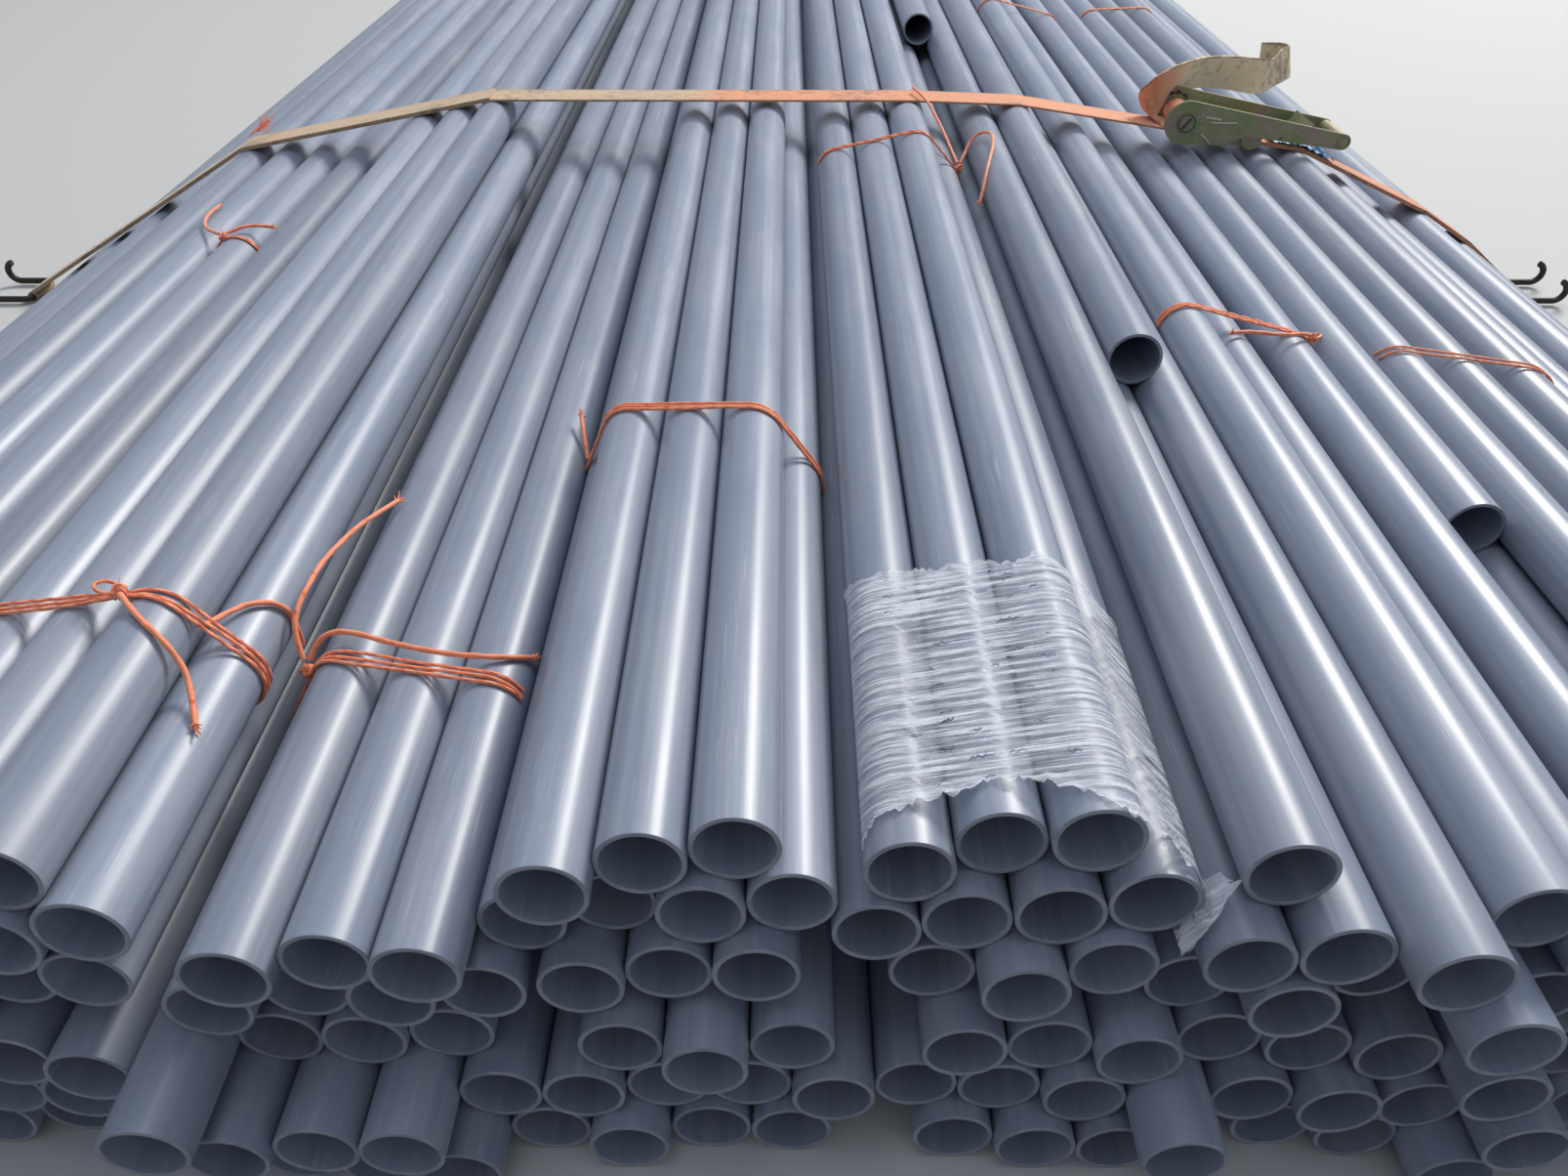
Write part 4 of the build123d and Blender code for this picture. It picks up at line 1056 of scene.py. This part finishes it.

# loose end of the strap: its lower and upper edge, in mm from the spool axis, from the spool on. It is
# tan to the right of turn, a tan painted brighter than the strap's own as painted light on a side that lies
# in shade, and bow is how far it waves to either side, waves radians a metre.
tailWeave = {"thick": 0.0022, "fine": 9, "across": 8, "bow": 0.0015, "waves": 60,
             # colour: the strap's tan painted brighter, painted light for the tail's shaded side
             "colour": rgb(0.85, 0.69, 0.44), "turn": 0.548, "blend": 0.05,
             "edges": (((-6, -13, -24), (-6, -13, 24)), ((-22, -12, -20), (-40, -8, 24)),
                       ((-28, -11, -10), (-60, 16, 14)), ((-28, -8, 4), (-54, 34, 4)),
                       ((-24, 2, 14), (-46, 46, 0)), ((-6, 12, 42), (-15, 60, 20)),
                       ((40, 19, 88), (34, 66, 65)), ((88, 20, 107), (91, 67, 100)),
                       ((140, 20, 112), (151, 66, 129)), ((178, 31, 140), (172, 75, 156)),
                       ((207, 39, 172), (187, 80, 170)), ((196, 35, 190), (178, 79, 186)),
                       ((166, 30, 192), (152, 75, 186)))}


def smoothThrough(stations, fine):
    # a smooth line through every station
    line = []
    for i in range(len(stations) - 1):
        a, b = stations[max(i - 1, 0)], stations[i]
        c, d = stations[i + 1], stations[min(i + 2, len(stations) - 1)]
        for k in range(fine):
            t = k / fine
            line.append(0.5 * (2 * b + (c - a) * t + (2 * a - 5 * b + 4 * c - d) * t * t
                               + (3 * b - a - 3 * c + d) * t * t * t))
    return line + [stations[-1]]


def strapTail():
    low, high = [smoothThrough([onRatchet(*(v / 1000 for v in pair[k])) for pair in tailWeave["edges"]],
                               tailWeave["fine"]) for k in range(2)]
    many, across = len(low), tailWeave["across"]
    shape = newShape()
    run, runs = 0.0, []
    for i in range(many):
        middle = (low[i] + high[i]) / 2
        if i:
            run += (middle - (low[i - 1] + high[i - 1]) / 2).length
        runs.append(run)
    for side in (-1, 1):
        for i in range(many):
            a, b = max(i - 1, 0), min(i + 1, many - 1)
            ahead = (low[b] + high[b]) - (low[a] + high[a])
            out = ahead.cross(high[i] - low[i]).normalized()
            for k in range(across + 1):
                share = k / across
                spot = low[i] + (high[i] - low[i]) * share
                bow = tailWeave["bow"] * math.sin(math.pi * share) * math.sin(runs[i] * tailWeave["waves"])
                shape["verts"].append(tuple(spot + out * (side * tailWeave["thick"] / 2 + bow)))
    sheet = many * (across + 1)
    ring = across + 1
    for side in (0, 1):
        for i in range(many - 1):
            for k in range(across):
                a = side * sheet + i * ring + k
                quad = (a, a + 1, a + ring + 1, a + ring)
                where = ((i, k), (i, k + 1), (i + 1, k + 1), (i + 1, k))
                if side == 0:
                    quad, where = tuple(reversed(quad)), tuple(reversed(where))
                shape["faces"].append(quad)
                shape["uvs"] += [(runs[m], n / across) for m, n in where]
    for k, edge in ((0, 0.0), (across, 1.0)):
        for i in range(many - 1):
            a, b = i * ring + k, (i + 1) * ring + k
            quad = (a, b, b + sheet, a + sheet)
            shape["faces"].append(quad if k else tuple(reversed(quad)))
            shape["uvs"] += [(runs[i], edge), (runs[i + 1], edge), (runs[i + 1], edge), (runs[i], edge)]
    for i in (0, many - 1):
        for k in range(across):
            a = i * ring + k
            quad = (a, a + 1, a + 1 + sheet, a + sheet)
            shape["faces"].append(tuple(reversed(quad)) if i else quad)
            shape["uvs"] += [(runs[i], 0.5)] * 4
    # right of turn the tail takes its brighter tan: painted light on a side that lies in shade
    cloth = webbing("webbingTail", fresh, tailWeave["colour"], tailWeave["turn"], tailWeave["blend"], True)
    meshPiece("strap_tail_ribbon", shape, cloth, "stack", ["strap_tail"])


strapTail()
print("ratchet and hooks dressed")


# light and floor

lampSet = {"sky": rgb(0.80, 0.87, 1.0), "skyLevel": 0.44, "backdrop": rgb(0.93, 0.94, 0.95),
           "key": {"place": (5.8, 6.3, 8.1), "aim": (0.0, -0.9, 0.1), "size": (4.4, 3.6), "power": 1500.0,
                   "colour": (1.0, 0.965, 0.91)},
           "top": {"place": (0.2, -0.6, 4.0), "aim": (0.1, -0.8, 0.0), "size": (1.6, 5.0), "power": 55.0,
                   "colour": (0.88, 0.93, 1.0)}}
floorLook = {"colour": rgb(0.50, 0.50, 0.49), "rough": 0.8, "size": 60.0}


def addLamp(name, values):
    lamp = bpy.data.lights.new(name, "AREA")
    lamp.shape = "RECTANGLE"
    lamp.size, lamp.size_y = values["size"]
    lamp.energy = values["power"]
    lamp.color = values["colour"]
    holder = bpy.data.objects.new(name, lamp)
    bpy.context.scene.collection.objects.link(holder)
    holder.location = values["place"]
    toward = Vector(values["aim"]) - Vector(values["place"])
    holder.rotation_euler = toward.to_track_quat("-Z", "Y").to_euler()


def setWorld():
    world = bpy.data.worlds.new("softSky")
    bpy.context.scene.world = world
    world.use_nodes = True
    tree = world.node_tree
    tree.nodes.clear()
    light = tree.nodes.new("ShaderNodeBackground")
    light.inputs["Color"].default_value = lampSet["sky"]
    light.inputs["Strength"].default_value = lampSet["skyLevel"]
    shown = tree.nodes.new("ShaderNodeBackground")
    shown.inputs["Color"].default_value = lampSet["backdrop"]
    path = tree.nodes.new("ShaderNodeLightPath")
    direct = sums(tree, "ADD", path.outputs["Is Camera Ray"], path.outputs["Is Transmission Ray"], True)
    mix = tree.nodes.new("ShaderNodeMixShader")
    tree.links.new(direct, mix.inputs[0])
    tree.links.new(light.outputs[0], mix.inputs[1])
    tree.links.new(shown.outputs[0], mix.inputs[2])
    output = tree.nodes.new("ShaderNodeOutputWorld")
    tree.links.new(mix.outputs[0], output.inputs[0])


def setFloor():
    bpy.ops.mesh.primitive_plane_add(size=floorLook["size"], location=(0.0, 0.0, 0.0))
    floor = bpy.context.object
    floor.name = "floor"
    material, tree, shader = startMaterial("paleFloor")
    shader.inputs["Base Color"].default_value = floorLook["colour"]
    shader.inputs["Roughness"].default_value = floorLook["rough"]
    floor.data.materials.append(material)


for name in ("key", "top"):
    addLamp(name + "Lamp", lampSet[name])
setWorld()
setFloor()
bpy.context.scene.view_settings.view_transform = "Standard"
print("light and floor set")
